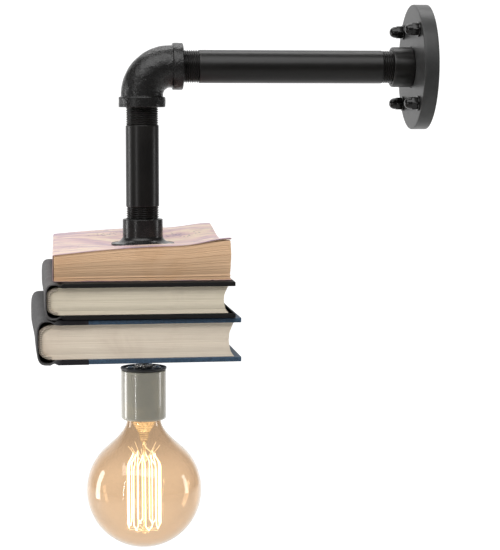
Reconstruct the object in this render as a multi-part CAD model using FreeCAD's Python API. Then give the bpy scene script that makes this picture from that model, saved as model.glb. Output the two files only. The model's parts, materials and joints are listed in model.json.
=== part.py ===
"""Pipe wall lamp: a wall canopy, a threaded iron pipe arm with one elbow, a stack of three books threaded on
the stem below it, and a porcelain lamp holder with a globe lamp. Millimetres. The origin is the centre of the
canopy's back face: the wall is the plane X = 0, the arm reaches to -X and +Z is up."""

import FreeCAD, Part
import math
import os

# ---- canopy and what holds it to the wall ----
CANOPY_R = 51.0
CANOPY_DEPTH = 12.0
CANOPY_SHEET = 2.0
CANOPY_EDGE = 1.0
STUD_PCD = 84.0
STUD_R = 3.0
BRACKET_THICK = 2.0
BRACKET_HUB_R = 26.0
BRACKET_HOLE_R = 13.0
BRACKET_ARM_WIDTH = 12.0
WALL_SCREW_SPACING = 38.0
WALL_SCREW_HOLE_R = 2.25
EARTH_SCREW = 24.0
STUD_WASHER_THICK = 1.6
STUD_WASHER_R = 6.0
DOME_NUT_AF = 10.0
DOME_NUT_HEX = 5.0
DOME_NUT_LENGTH = 11.5

# ---- three-quarter inch pipe and its fittings ----
PIPE_R = 13.45
PIPE_WALL = 2.6
THREAD_PITCH = 1.814
THREAD_DEPTH = 0.9
THREAD_CREST_R = 13.2
FIT_GAP = 0.05
ARM_END = -4.5
ARM_LENGTH = 209.0
STEM_X = -234.0
ARM_THREAD_WALL = 32.1
ARM_THREAD_ELBOW = 25.1
SOCKET_R = 16.3
SOCKET_LENGTH = 17.0
LOCKNUT_AF = 34.0
LOCKNUT_THICK = 4.0
ELBOW_REACH = 33.0
ELBOW_BEND_R = 22.8
ELBOW_BODY_R = 17.1
ELBOW_BEAD_R = 19.0
ELBOW_BEAD_WIDTH = 8.5
DOWN_PIPE_TOP = -20.5
DOWN_PIPE_LENGTH = 115.0
DOWN_THREAD_TOP = 26.5
DOWN_THREAD_BOTTOM = 21.8
COLLAR_TOP = -123.3
COLLAR_STRAIGHT = 14.0
COLLAR_BASE = -144.3
COLLAR_FLOOR = -137.2
FLARE_R = 25.7
FLARE_RIM = 1.3

# ---- the stem through the books, and its nuts ----
STEM_R = 5.0
STEM_BORE_R = 3.5
STEM_TOP = -130.0
STEM_BOTTOM = -251.8
STEM_HOLE_R = 5.4
NUT_AF = 14.0
NUT_THICK = 4.0
STACK_WASHER_R = 15.0
STACK_WASHER_THICK = 1.5

# ---- books: X from the stem to the spine side and to the fore-edge, Y both ways from the stem ----
TOP_BASE = -164.6
TOP_SPINE_X = -73.0
TOP_FORE_X = 63.0
TOP_HALF = 100.0
TOP_TURN = -1.1
TOP_RISE = 6.5
TOP_FAR_RISE = 2.4
COVER_THICK = 0.4
LEAF_THICK = 0.3
NEAR_CURL = 5.5
FAR_CURL = 4.6
MIDDLE = dict(base=-192.2, top=-164.8, board=3.3, spine=-75.5, bulge=5.5, fore=62.6, page_fore=57.5,
              hollow=3.5, half=114.0, page_half=110.0, turn=0.0)
BOTTOM = dict(base=-226.4, top=-192.4, board=3.8, spine=-82.0, bulge=7.0, fore=66.5, page_fore=60.5,
              hollow=4.0, half=112.0, page_half=108.0, turn=0.8)
MIDDLE_CLOTH_REACH = MIDDLE["fore"] - MIDDLE["spine"] - 1.0
BOTTOM_CLOTH_REACH = 36.0
CLOTH_THICK = 0.6

# ---- lamp holder ----
HOLDER_CAP_R = 18.9
HOLDER_CAP_TOP = -245.0
HOLDER_CAP_RIM = 1.8
HOLDER_TOP = -247.2
HOLDER_BOTTOM = -288.0
HOLDER_R = 18.6
HOLDER_BORE_R = 14.9
HOLDER_FLOOR = -252.6
SHELL_R = 13.6
SHELL_SHEET = 0.35
SHELL_TOP = -255.6
SHELL_LENGTH = 25.0
CAP_SCREW_X = 11.0
TERMINAL_X = 10.2
TERMINAL_Y = 5.0
CONTACT_SHEET = 0.4

# ---- globe lamp ----
GLOBE_R = 47.5
GLOBE_Z = -347.0
GLASS_WALL = 0.8
CAP_TIP = -256.6
CAP_CREST_R = 13.1
CAP_ROOT_R = 12.2
CAP_PITCH = 3.62
CAP_BOTTOM = -283.5
NECK_R = 13.6
NECK_TOP_R = 12.7
PINCH_END = -308.0
PINCH_R = 4.6
ROD_R = 1.3
CAGE_R = 14.5
CAGE_TOP = -320.0
CAGE_BOTTOM = -382.0
CAGE_STRANDS = 17
FILAMENT_R = 0.35

# ---- wiring ----
WIRE_R = 0.9
WIRE_OFFSET = 2.2
WIRE_X = -3.6
BLOCK_Y = 27.0
LEAD_END = 8.8

X_AXIS = FreeCAD.Vector(1, 0, 0)
Y_AXIS = FreeCAD.Vector(0, 1, 0)
Z_AXIS = FreeCAD.Vector(0, 0, 1)


def vec(x, y, z):
    return FreeCAD.Vector(x, y, z)


def save(name, *shapes):
    """Write one node; several shapes stay separate solids of the same node."""
    solids = [solid for shape in shapes for solid in shape.Solids]
    for solid in solids:
        if not solid.isValid() or solid.Volume <= 0:
            raise ValueError(f"{name}: a solid is not valid")
    node = solids[0] if len(solids) == 1 else Part.makeCompound(solids)
    node.exportStep(f"parts/{name}.step")
    print(f"{name}: {len(solids)} solid(s), {node.Volume / 1000:.2f} cm3")


def turned(profile, origin, axis):
    """A solid of revolution from (radius, height) points, with heights measured along the axis."""
    side = X_AXIS if abs(axis.dot(X_AXIS)) < 0.9 else Z_AXIS
    points = [origin + side * r + axis * h for r, h in profile]
    face = Part.Face(Part.makePolygon(points + points[:1]))
    solid = face.revolve(origin, axis, 360)
    if solid.Volume < 0:
        solid.reverse()
    return solid.Solids[0] if solid.Solids else Part.Solid(solid)


def tube(r_out, r_in, origin, axis, length):
    shape = Part.makeCylinder(r_out, length, origin, axis)
    if r_in > 0:
        shape = shape.cut(Part.makeCylinder(r_in, length, origin, axis))
    return shape


def block(low, high):
    return Part.makeBox(high[0] - low[0], high[1] - low[1], high[2] - low[2], vec(*low))


def hexagon(across_flats, thick, origin, axis):
    """A hexagonal prism with its flats across_flats apart, rising from the origin along the axis."""
    side = Y_AXIS if abs(axis.dot(Y_AXIS)) < 0.9 else Z_AXIS
    other = axis.cross(side)
    corner = across_flats / math.sqrt(3)
    points = []
    for k in range(6):
        angle = math.radians(60 * k)
        points.append(origin + side * (corner * math.cos(angle)) + other * (corner * math.sin(angle)))
    return Part.Face(Part.makePolygon(points + points[:1])).extrude(axis * thick)


def ridges(start, length):
    """(radius, height) points of pipe thread ridges over a length that begins at the height start."""
    count = int(length / THREAD_PITCH)
    points = []
    for k in range(count):
        foot = start + k * THREAD_PITCH
        points += [(THREAD_CREST_R - THREAD_DEPTH, foot), (THREAD_CREST_R, foot + 0.4 * THREAD_PITCH)]
        points += [(THREAD_CREST_R, foot + 0.6 * THREAD_PITCH)]
    points.append((THREAD_CREST_R - THREAD_DEPTH, start + count * THREAD_PITCH))
    return points


def pipe(origin, axis, length, first_thread, last_thread):
    """A pipe with threaded ends; the threads stop in a small step up to the full outside."""
    bore = PIPE_R - PIPE_WALL
    outline = ridges(0.0, first_thread)
    outline += [(PIPE_R, outline[-1][1] + 0.6)]
    tail = ridges(length - last_thread, last_thread)
    outline += [(PIPE_R, tail[0][1] - 0.6)] + tail
    outline += [(outline[-1][0], length), (bore, length), (bore, 0.0)]
    return turned(outline, origin, axis)


def around_stem(solid, degrees=0.0):
    solid = solid.copy()
    solid.rotate(vec(STEM_X, 0, 0), Z_AXIS, degrees)
    return solid


def stud_places():
    reach = STUD_PCD / 2 * math.cos(math.radians(45))
    return [(y, z) for y in (-reach, reach) for z in (-reach, reach)]


# ---------------------------------------------------------------- wall end
def wall_bracket():
    plate = Part.makeCylinder(BRACKET_HUB_R, BRACKET_THICK, vec(0, 0, 0), -X_AXIS)
    reach = STUD_PCD / 2 + BRACKET_ARM_WIDTH / 2
    arm = block((-BRACKET_THICK, -reach, -BRACKET_ARM_WIDTH / 2), (0, reach, BRACKET_ARM_WIDTH / 2))
    for degrees in (45, 135):
        turned_arm = arm.copy()
        turned_arm.rotate(vec(0, 0, 0), X_AXIS, degrees)
        plate = plate.fuse(turned_arm)
    plate = plate.fuse(block((-BRACKET_THICK, 20, -5), (0, BLOCK_Y + 17, 9)))
    holes = [Part.makeCylinder(BRACKET_HOLE_R, BRACKET_THICK, vec(0, 0, 0), -X_AXIS)]
    for side in (-1, 1):
        centre = vec(0, 0, side * WALL_SCREW_SPACING / 2)
        holes.append(Part.makeCylinder(WALL_SCREW_HOLE_R, BRACKET_THICK, centre, -X_AXIS))
    for y, z in stud_places():
        holes.append(Part.makeCylinder(STUD_R + FIT_GAP, BRACKET_THICK, vec(0, y, z), -X_AXIS))
    holes.append(Part.makeCylinder(1.5 + FIT_GAP, BRACKET_THICK, vec(0, EARTH_SCREW, EARTH_SCREW), -X_AXIS))
    for hole in holes:
        plate = plate.cut(hole)
    return plate.removeSplitter()


def canopy_studs():
    length = CANOPY_DEPTH + STUD_WASHER_THICK + 8.0
    return [Part.makeCylinder(STUD_R, length, vec(0, y, z), -X_AXIS) for y, z in stud_places()]


def wall_canopy():
    outer = Part.makeCylinder(CANOPY_R, CANOPY_DEPTH, vec(0, 0, 0), -X_AXIS)
    front = [e for e in outer.Edges if e.BoundBox.XMax < -CANOPY_DEPTH + 0.1]
    outer = outer.makeFillet(CANOPY_EDGE, front)
    inner_r = CANOPY_R - CANOPY_SHEET
    outer = outer.cut(Part.makeCylinder(inner_r, CANOPY_DEPTH - CANOPY_SHEET, vec(0, 0, 0), -X_AXIS))
    through = CANOPY_DEPTH + 1
    outer = outer.cut(Part.makeCylinder(THREAD_CREST_R + 0.2, through, vec(0, 0, 0), -X_AXIS))
    for y, z in stud_places():
        outer = outer.cut(Part.makeCylinder(STUD_R + 0.3, through, vec(0, y, z), -X_AXIS))
    return outer


def stud_washers():
    face = -CANOPY_DEPTH
    return [tube(STUD_WASHER_R, STUD_R + 0.2, vec(face, y, z), -X_AXIS, STUD_WASHER_THICK)
            for y, z in stud_places()]


def dome_nut(y, z):
    """A hexagon with a domed end, drilled blind from the washer side."""
    foot = vec(-CANOPY_DEPTH - STUD_WASHER_THICK, y, z)
    nut = hexagon(DOME_NUT_AF, DOME_NUT_HEX, foot, -X_AXIS)
    chamfer = turned([(0, 0), (4.9, 0), (5.8, 0.6), (5.8, DOME_NUT_HEX - 0.8), (4.7, DOME_NUT_HEX),
                      (0, DOME_NUT_HEX)], foot, -X_AXIS)
    nut = nut.common(chamfer)
    neck = DOME_NUT_LENGTH - DOME_NUT_HEX
    dome = Part.makeSphere(neck, foot - X_AXIS * DOME_NUT_HEX, -X_AXIS, 0, 90, 360)
    squeeze = FreeCAD.Matrix()
    squeeze.scale(1, 4.6 / neck, 4.6 / neck)
    dome.translate(-foot)
    dome = dome.transformGeometry(squeeze)
    dome.translate(foot)
    nut = nut.fuse(dome)
    return nut.cut(Part.makeCylinder(STUD_R + FIT_GAP, 8.3, foot, -X_AXIS)).removeSplitter()


def wall_socket():
    outline = [(THREAD_CREST_R + FIT_GAP, 0), (SOCKET_R - 0.8, 0), (SOCKET_R, 0.8)]
    outline += [(SOCKET_R, SOCKET_LENGTH - 0.8), (SOCKET_R - 0.8, SOCKET_LENGTH)]
    outline += [(THREAD_CREST_R + FIT_GAP, SOCKET_LENGTH)]
    return turned(outline, vec(-CANOPY_DEPTH, 0, 0), -X_AXIS)


def pipe_locknut():
    origin = vec(-CANOPY_DEPTH + CANOPY_SHEET, 0, 0)
    nut = hexagon(LOCKNUT_AF, LOCKNUT_THICK, origin, X_AXIS)
    return nut.cut(Part.makeCylinder(THREAD_CREST_R + FIT_GAP, LOCKNUT_THICK, origin, X_AXIS))


# ---------------------------------------------------------------- wiring
def terminal_block():
    low, high = (-9.4, BLOCK_Y, -4.6), (-BRACKET_THICK, BLOCK_Y + 16, 8.8)
    body = block(low, high)
    for z in (-WIRE_OFFSET, WIRE_OFFSET, 3 * WIRE_OFFSET):
        body = body.cut(Part.makeCylinder(WIRE_R + 0.1, 16, vec(WIRE_X, BLOCK_Y, z), Y_AXIS))
        body = body.cut(Part.makeCylinder(1.4, 4.6, vec(-9.4, BLOCK_Y + 4, z), X_AXIS))
    return body


def terminal_screws():
    screws = []
    for z in (-WIRE_OFFSET, WIRE_OFFSET, 3 * WIRE_OFFSET):
        screws.append(Part.makeCylinder(1.3, 3.6, vec(-8.6, BLOCK_Y + 4, z), X_AXIS))
    return screws


def earth_screw():
    """A pan-head screw through the bracket arm, with its head clear of the plate by the earth lead's eye."""
    under_head = BRACKET_THICK + 1.0
    outline = [(0, under_head), (2.8, under_head), (2.8, under_head + 1.2), (1.9, under_head + 2.1),
               (0, under_head + 2.1)]
    head = turned(outline, vec(0, EARTH_SCREW, EARTH_SCREW), -X_AXIS)
    shank = Part.makeCylinder(1.5, under_head, vec(0, EARTH_SCREW, EARTH_SCREW), -X_AXIS)
    return head.fuse(shank).removeSplitter()


def wire(points, radii):
    """A round wire along straight runs joined by tangent arcs, one radius for each inner point."""
    edges = []
    start = points[0]
    for before, corner, after, radius in zip(points, points[1:], points[2:], radii):
        into = (corner - before).normalize()
        out = (after - corner).normalize()
        half_turn = into.getAngle(out) / 2
        cut = radius * math.tan(half_turn)
        first = corner - into * cut
        last = corner + out * cut
        inward = (out - into).normalize()
        centre = corner + inward * (radius / math.cos(half_turn))
        middle = centre - inward * radius
        edges.append(Part.LineSegment(start, first).toShape())
        edges.append(Part.Arc(first, middle, last).toShape())
        start = last
    edges.append(Part.LineSegment(start, points[-1]).toShape())
    path = Part.Wire(edges)
    section = Part.Wire(Part.makeCircle(WIRE_R, points[0], (points[1] - points[0])))
    return path.makePipeShell([section], True, False)


def lead(offset):
    """A lead from the terminal block, along the arm, round the elbow and down the stem to the holder."""
    down_x, side = STEM_X - offset, -math.copysign(1, offset)
    points = [vec(WIRE_X, BLOCK_Y + 3, offset), vec(WIRE_X, 0, offset), vec(down_x, 0, offset),
              vec(down_x, 0, HOLDER_FLOOR - 1.45), vec(STEM_X + side * LEAD_END, 0, HOLDER_FLOOR - 1.45)]
    return wire(points, [6.0, ELBOW_BEND_R + offset, 2.6])


def earth_wire():
    eye = tube(2.8, 1.6, vec(-BRACKET_THICK, EARTH_SCREW, EARTH_SCREW), -X_AXIS, 0.9)
    points = [vec(WIRE_X, BLOCK_Y + 3, 3 * WIRE_OFFSET), vec(WIRE_X, 22.4, 3 * WIRE_OFFSET),
              vec(-BRACKET_THICK - 0.95, 22.4, 21.2)]
    return [eye, wire(points, [3.0])]


# ---------------------------------------------------------------- arm
def arm_pipe():
    return pipe(vec(ARM_END, 0, 0), -X_AXIS, ARM_LENGTH, ARM_THREAD_WALL, ARM_THREAD_ELBOW)


def down_pipe():
    return pipe(vec(STEM_X, 0, DOWN_PIPE_TOP), -Z_AXIS, DOWN_PIPE_LENGTH, DOWN_THREAD_TOP, DOWN_THREAD_BOTTOM)


def bend(radius):
    """A quarter ring about the Y axis that turns from the arm's direction to straight down."""
    start = vec(STEM_X + ELBOW_BEND_R, 0, 0)
    centre = vec(STEM_X + ELBOW_BEND_R, 0, -ELBOW_BEND_R)
    disc = Part.Face(Part.Wire(Part.makeCircle(radius, start, X_AXIS)))
    return disc.revolve(centre, Y_AXIS, -90)


def elbow():
    straight = ELBOW_REACH - ELBOW_BEND_R
    ends = [(vec(STEM_X + ELBOW_BEND_R, 0, 0), X_AXIS), (vec(STEM_X, 0, -ELBOW_BEND_R), -Z_AXIS)]
    body, hollow = bend(ELBOW_BODY_R), bend(PIPE_R - PIPE_WALL)
    for origin, axis in ends:
        body = body.fuse(Part.makeCylinder(ELBOW_BODY_R, straight, origin, axis))
        bead = [(0, straight - ELBOW_BEAD_WIDTH), (ELBOW_BODY_R, straight - ELBOW_BEAD_WIDTH),
                (ELBOW_BEAD_R, straight - ELBOW_BEAD_WIDTH + 1.6), (ELBOW_BEAD_R, straight - 1.0),
                (ELBOW_BEAD_R - 1.0, straight), (0, straight)]
        body = body.fuse(turned(bead, origin, axis))
        hollow = hollow.fuse(Part.makeCylinder(PIPE_R - PIPE_WALL, straight, origin, axis))
        depth = 13.0
        seat = origin + axis * (straight - depth)
        hollow = hollow.fuse(Part.makeCylinder(THREAD_CREST_R + FIT_GAP, depth, seat, axis))
    return body.cut(hollow).removeSplitter()


def book_collar():
    """A socket that spreads into a thin round foot; the foot's floor is drilled for the stem."""
    sweep = 6.0
    outline = [(STEM_R + FIT_GAP, 0), (FLARE_R - 0.4, 0), (FLARE_R, 0.5), (FLARE_R, FLARE_RIM)]
    height = COLLAR_TOP - COLLAR_BASE
    waist = height - COLLAR_STRAIGHT
    for k in range(1, 7):
        angle = math.radians(90 * k / 6)
        r = FLARE_R - sweep * 1.55 * math.sin(angle)
        outline.append((r, FLARE_RIM + (waist - FLARE_RIM) * (1 - math.cos(angle))))
    outline[-1] = (SOCKET_R, waist)
    outline += [(SOCKET_R, height - 0.8), (SOCKET_R - 0.8, height), (THREAD_CREST_R + FIT_GAP, height)]
    floor = COLLAR_FLOOR - COLLAR_BASE
    outline += [(THREAD_CREST_R + FIT_GAP, floor), (STEM_R + FIT_GAP, floor)]
    return turned(outline, vec(STEM_X, 0, COLLAR_BASE), Z_AXIS)


# ---------------------------------------------------------------- stem
def on_stem(z):
    return vec(STEM_X, 0, z)


def stem_nut(z):
    nut = hexagon(NUT_AF, NUT_THICK, on_stem(z), Z_AXIS)
    return nut.cut(Part.makeCylinder(STEM_R + FIT_GAP, NUT_THICK, on_stem(z), Z_AXIS))


# ---------------------------------------------------------------- books
def smooth(t):
    t = min(max(t, 0.0), 1.0)
    return t * t * (3 - 2 * t)


def paper_top(x, y):
    """Height of the top book's paper: it swells away from the spine and is pressed flat under the collar."""
    along = (x - TOP_SPINE_X) / (TOP_FORE_X - TOP_SPINE_X)
    swell = TOP_RISE * math.sin(min(1.0, along / 0.72) * math.pi / 2)
    swell += TOP_FAR_RISE * (y / TOP_HALF + 1) / 2 * (1 - along)
    pressed = smooth((math.hypot(x, y) - FLARE_R) / 58.0)
    return COLLAR_BASE - 2 * COVER_THICK - 0.2 + swell * pressed


def curl(x, y):
    """Lift of the cover's two free corners."""
    out = smooth((x - 14.0) / (TOP_FORE_X - 14.0)) ** 1.5
    near = smooth((-y - 15.0) / (TOP_HALF - 15.0)) ** 1.5
    far = smooth((y - 15.0) / (TOP_HALF - 15.0)) ** 1.5
    return out * (NEAR_CURL * near + FAR_CURL * far)


def sheet_between(height_top, height_bottom):
    """A closed solid between two height functions over the top book's outline, measured from the stem."""
    steps = 13
    xs = [TOP_SPINE_X + (TOP_FORE_X - TOP_SPINE_X) * i / (steps - 1) for i in range(steps)]
    ys = [TOP_HALF * (2 * j / (steps - 1) - 1) for j in range(steps)]
    faces = []
    for height in (height_top, height_bottom):
        surface = Part.BSplineSurface()
        surface.interpolate([[vec(STEM_X + x, y, height(x, y)) for y in ys] for x in xs])
        faces.append(surface.toShape())
    sides = [Part.makeRuledSurface(a, b) for a, b in zip(faces[0].Edges, faces[1].Edges)]
    shell = Part.makeShell(faces + sides)
    shell.sewShape()
    solid = Part.Solid(shell)
    if solid.Volume < 0:
        solid.reverse()
    return solid


def stem_hole(solid):
    return solid.cut(Part.makeCylinder(STEM_HOLE_R, 100.0, on_stem(COLLAR_BASE + 5.0), -Z_AXIS))


def top_book():
    """Leaf block, first leaf and wrapped soft cover of the top book."""
    leaf_low, cover_low = 0.05, 0.05 + LEAF_THICK + 0.1
    leaf_curl = 0.95
    pages = sheet_between(paper_top, lambda x, y: TOP_BASE + COVER_THICK + 0.1)
    leaf = sheet_between(lambda x, y: paper_top(x, y) + leaf_low + LEAF_THICK + leaf_curl * curl(x, y),
                         lambda x, y: paper_top(x, y) + leaf_low + leaf_curl * curl(x, y))
    cover = sheet_between(lambda x, y: paper_top(x, y) + cover_low + COVER_THICK + curl(x, y),
                          lambda x, y: paper_top(x, y) + cover_low + curl(x, y))
    whole = sheet_between(lambda x, y: paper_top(x, y) + cover_low + COVER_THICK, lambda x, y: TOP_BASE)
    x_low, x_high = STEM_X + TOP_SPINE_X, STEM_X + TOP_FORE_X
    spine = whole.common(block((x_low, -TOP_HALF, TOP_BASE), (x_low + COVER_THICK, TOP_HALF, COLLAR_TOP)))
    back = block((x_low, -TOP_HALF, TOP_BASE), (x_high, TOP_HALF, TOP_BASE + COVER_THICK))
    glue_line = block((x_low, -TOP_HALF, TOP_BASE), (x_low + 2 * COVER_THICK, TOP_HALF, COLLAR_TOP))
    pieces = {"top_book_pages": pages.cut(glue_line), "top_book_flyleaf": leaf.cut(glue_line),
              "top_book_cover": cover.fuse(spine).fuse(back)}
    return {name: around_stem(stem_hole(solid), TOP_TURN) for name, solid in pieces.items()}


def spine_arc(x_edge, bulge, z_low, z_high):
    """The arc of a rounded spine, bulging to -X from the line x = x_edge between two heights."""
    middle = vec(STEM_X + x_edge - bulge, 0, (z_low + z_high) / 2)
    return Part.Arc(vec(STEM_X + x_edge, 0, z_low), middle, vec(STEM_X + x_edge, 0, z_high)).toShape()


def page_block(book, low, high):
    """Leaves with a rounded back and a hollow fore-edge."""
    half = book["page_half"]
    back = spine_arc(book["spine"] + 2.6, book["bulge"] - 1.5, low, high)
    front = spine_arc(book["page_fore"], book["hollow"], low, high)
    ends = [Part.LineSegment(back.Vertexes[k].Point, front.Vertexes[k].Point).toShape() for k in (0, 1)]
    outline = Part.Wire(Part.__sortEdges__([back, ends[1], front, ends[0]]))
    solid = Part.Face(outline).extrude(Y_AXIS * (2 * half))
    solid.translate(vec(0, -half, 0))
    return solid


def board(book, low, high, start):
    half = book["half"]
    solid = block((STEM_X + start, -half, low), (STEM_X + book["fore"], half, high))
    corners = [e for e in solid.Edges if abs(e.tangentAt(e.FirstParameter).z) > 0.9]
    fore = [e for e in corners if e.Vertexes[0].X > STEM_X]
    return solid.makeFillet(2.0, fore)


def cloth_case(book, low, high, reach):
    """Cover cloth: the rounded back, and flat wings of the given reach that lie on both boards."""
    x_edge, half = book["spine"], book["half"]
    outer = spine_arc(x_edge, book["bulge"], low, high)
    inner = spine_arc(x_edge + CLOTH_THICK, book["bulge"], low + CLOTH_THICK, high - CLOTH_THICK)
    x_end = STEM_X + x_edge + CLOTH_THICK + reach
    edges = [outer, inner]
    for z, z_in in ((low, low + CLOTH_THICK), (high, high - CLOTH_THICK)):
        path = [vec(STEM_X + x_edge, 0, z), vec(x_end, 0, z), vec(x_end, 0, z_in),
                vec(STEM_X + x_edge + CLOTH_THICK, 0, z_in)]
        edges += [Part.LineSegment(a, b).toShape() for a, b in zip(path, path[1:])]
    outline = Part.Wire(Part.__sortEdges__(edges))
    solid = Part.Face(outline).extrude(Y_AXIS * (2 * half))
    solid.translate(vec(0, -half, 0))
    return solid


def headbands(book, low, high):
    """The woven bands at both ends of the leaves' back."""
    bands = []
    for side in (-1, 1):
        y = side * (book["page_half"] + 1.0)
        foot = vec(STEM_X + book["spine"] + 0.8, y, low + 2.0)
        bands.append(Part.makeCylinder(1.0, high - low - 4.0, foot, Z_AXIS))
    return bands


def hard_book(book, name, cloth, reach):
    """Every piece of a case-bound book, each drilled for the stem and turned a little on it."""
    low, high, thick = book["base"], book["top"], book["board"]
    start = book["spine"] + 2.5
    skin = CLOTH_THICK + 0.02
    pieces = {
        f"{name}_pages": [page_block(book, low + thick + 0.05, high - thick - 0.05)],
        f"{name}_bottom_board": [board(book, low + skin, low + thick, start)],
        f"{name}_top_board": [board(book, high - thick, high - skin, start)],
        f"{name}_{cloth}": [cloth_case(book, low, high, reach)],
        f"{name}_headbands": headbands(book, low + thick, high - thick),
    }
    return {key: [around_stem(stem_hole(s), book["turn"]) for s in solids] for key, solids in pieces.items()}


# ---------------------------------------------------------------- lamp holder
def holder_cap():
    """A pressed metal tray on top of the porcelain, its rim turned up."""
    floor = HOLDER_CAP_TOP - HOLDER_CAP_RIM
    outer, bore = HOLDER_CAP_R, STEM_R + FIT_GAP
    outline = [(bore, 0), (outer - 0.7, 0), (outer, 0.7), (outer, HOLDER_CAP_RIM),
               (outer - 0.8, HOLDER_CAP_RIM), (outer - 1.6, 0.8), (bore, 0.8)]
    tray = turned(outline, on_stem(floor), Z_AXIS)
    for side in (-1, 1):
        place = vec(STEM_X + CAP_SCREW_X * side, 0, floor)
        tray = tray.cut(Part.makeCylinder(1.7, 0.8, place, Z_AXIS))
    return tray


def holder_cap_screws():
    floor = HOLDER_CAP_TOP - HOLDER_CAP_RIM
    screws = []
    for side in (-1, 1):
        place = vec(STEM_X + CAP_SCREW_X * side, 0, floor + 0.8)
        head = turned([(0, 0), (3.0, 0), (3.0, 1.0), (2.2, 1.9), (0, 1.9)], place, Z_AXIS)
        shank = Part.makeCylinder(1.5, 5.5, place, -Z_AXIS)
        screws.append(head.fuse(shank).removeSplitter())
    return screws


def holder_body():
    """Glazed porcelain: a skirt round the screw shell, and a thick top drilled for stem and screws."""
    edge = 2.4
    outline = [(STEM_R + 0.3, HOLDER_TOP), (HOLDER_R - 1.0, HOLDER_TOP), (HOLDER_R, HOLDER_TOP - 1.0)]
    outline += [(HOLDER_R, HOLDER_BOTTOM + edge)]
    for k in range(1, 5):
        angle = math.radians(90 * k / 4)
        r, z = HOLDER_R - edge * (1 - math.cos(angle)), HOLDER_BOTTOM + edge * (1 - math.sin(angle))
        outline.append((r, z))
    outline += [(HOLDER_BORE_R, HOLDER_BOTTOM), (HOLDER_BORE_R, HOLDER_FLOOR), (STEM_R + 0.3, HOLDER_FLOOR)]
    body = turned(outline, on_stem(0), Z_AXIS)
    for side in (-1, 1):
        body = body.cut(Part.makeCylinder(1.6, 5.0, vec(STEM_X + CAP_SCREW_X * side, 0, HOLDER_TOP), -Z_AXIS))
        place = vec(STEM_X + TERMINAL_X * side, TERMINAL_Y, HOLDER_FLOOR)
        body = body.cut(Part.makeCylinder(1.3, 3.2, place, Z_AXIS))
    return body


def screw_shell():
    outside = SHELL_R + SHELL_SHEET
    return tube(outside, SHELL_R, on_stem(SHELL_TOP), -Z_AXIS, SHELL_LENGTH)


def contact_tab(side, reach):
    """The flat end of a contact on one side of the stem, held to the porcelain by its terminal screw."""
    low = HOLDER_FLOOR - 0.1 - CONTACT_SHEET
    near, far = sorted((STEM_X + side * 9.2, STEM_X + side * reach))
    strip = block((near, -2.5, low), (far, 2.5, low + CONTACT_SHEET))
    near, far = sorted((STEM_X + side * 8.8, STEM_X + side * 12.0))
    pad = block((near, -2.5, low), (far, TERMINAL_Y + 2.5, low + CONTACT_SHEET))
    hole = Part.makeCylinder(1.25, 3.0, vec(STEM_X + side * TERMINAL_X, TERMINAL_Y, low - 1.0), Z_AXIS)
    return strip.fuse(pad).cut(hole)


def centre_contact():
    """A brass leaf: screwed to one side of the porcelain's floor, and bowed down under the lamp's tip."""
    low = CAP_TIP + 0.3
    leaf = block((STEM_X - 3.0, -2.5, low), (STEM_X + 9.6, 2.5, low + CONTACT_SHEET))
    foot = block((STEM_X + 9.2, -2.5, low), (STEM_X + 9.6, 2.5, HOLDER_FLOOR - 0.1))
    return leaf.fuse(foot).fuse(contact_tab(1, 12.0)).removeSplitter()


def side_contact():
    """A brass strip that runs from its terminal screw down the outside of the screw shell."""
    reach = SHELL_R + SHELL_SHEET + 0.1 + CONTACT_SHEET
    low = (STEM_X - reach, -2.5, HOLDER_FLOOR - 12.0)
    strip = block(low, (low[0] + CONTACT_SHEET, 2.5, HOLDER_FLOOR - 0.1))
    return strip.fuse(contact_tab(-1, reach)).removeSplitter()


def terminal_screw_pair():
    screws = []
    for side in (-1, 1):
        place = vec(STEM_X + TERMINAL_X * side, TERMINAL_Y, HOLDER_FLOOR - 0.12 - CONTACT_SHEET)
        head = turned([(0, 0), (2.3, 0), (2.3, 0.8), (1.6, 1.3), (0, 1.3)], place, -Z_AXIS)
        screws.append(head.fuse(Part.makeCylinder(1.2, 3.2, place, Z_AXIS)).removeSplitter())
    return screws


# ---------------------------------------------------------------- globe lamp
def globe_outline(radius, shrink):
    """(radius, height) points down the lamp's glass: neck, shoulder sweep, then the globe to its foot."""
    neck = NECK_R - shrink
    points = [(NECK_TOP_R - 0.4 - shrink, CAP_BOTTOM + 2.5), (NECK_TOP_R - shrink, CAP_BOTTOM - 0.2),
              (neck, CAP_BOTTOM - 2.2), (neck + 0.4, CAP_BOTTOM - 5.0)]
    start = math.radians(50.0)
    join_r, join_z = radius * math.sin(start), GLOBE_Z + radius * math.cos(start)
    first_r, first_z = points[-1]
    for k in range(1, 6):
        t = k / 6
        ease = t * t * (1.6 - 0.6 * t)
        points.append((first_r + (join_r - first_r) * ease, first_z + (join_z - first_z) * t))
    for k in range(19):
        angle = start + (math.pi - start) * k / 18
        points.append((max(radius * math.sin(angle), 0.0), GLOBE_Z + radius * math.cos(angle)))
    return points


def bulb_glass():
    outside = globe_outline(GLOBE_R, 0.0)
    inside = globe_outline(GLOBE_R - GLASS_WALL, GLASS_WALL)
    return turned(outside + inside[::-1], on_stem(0), Z_AXIS)


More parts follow.
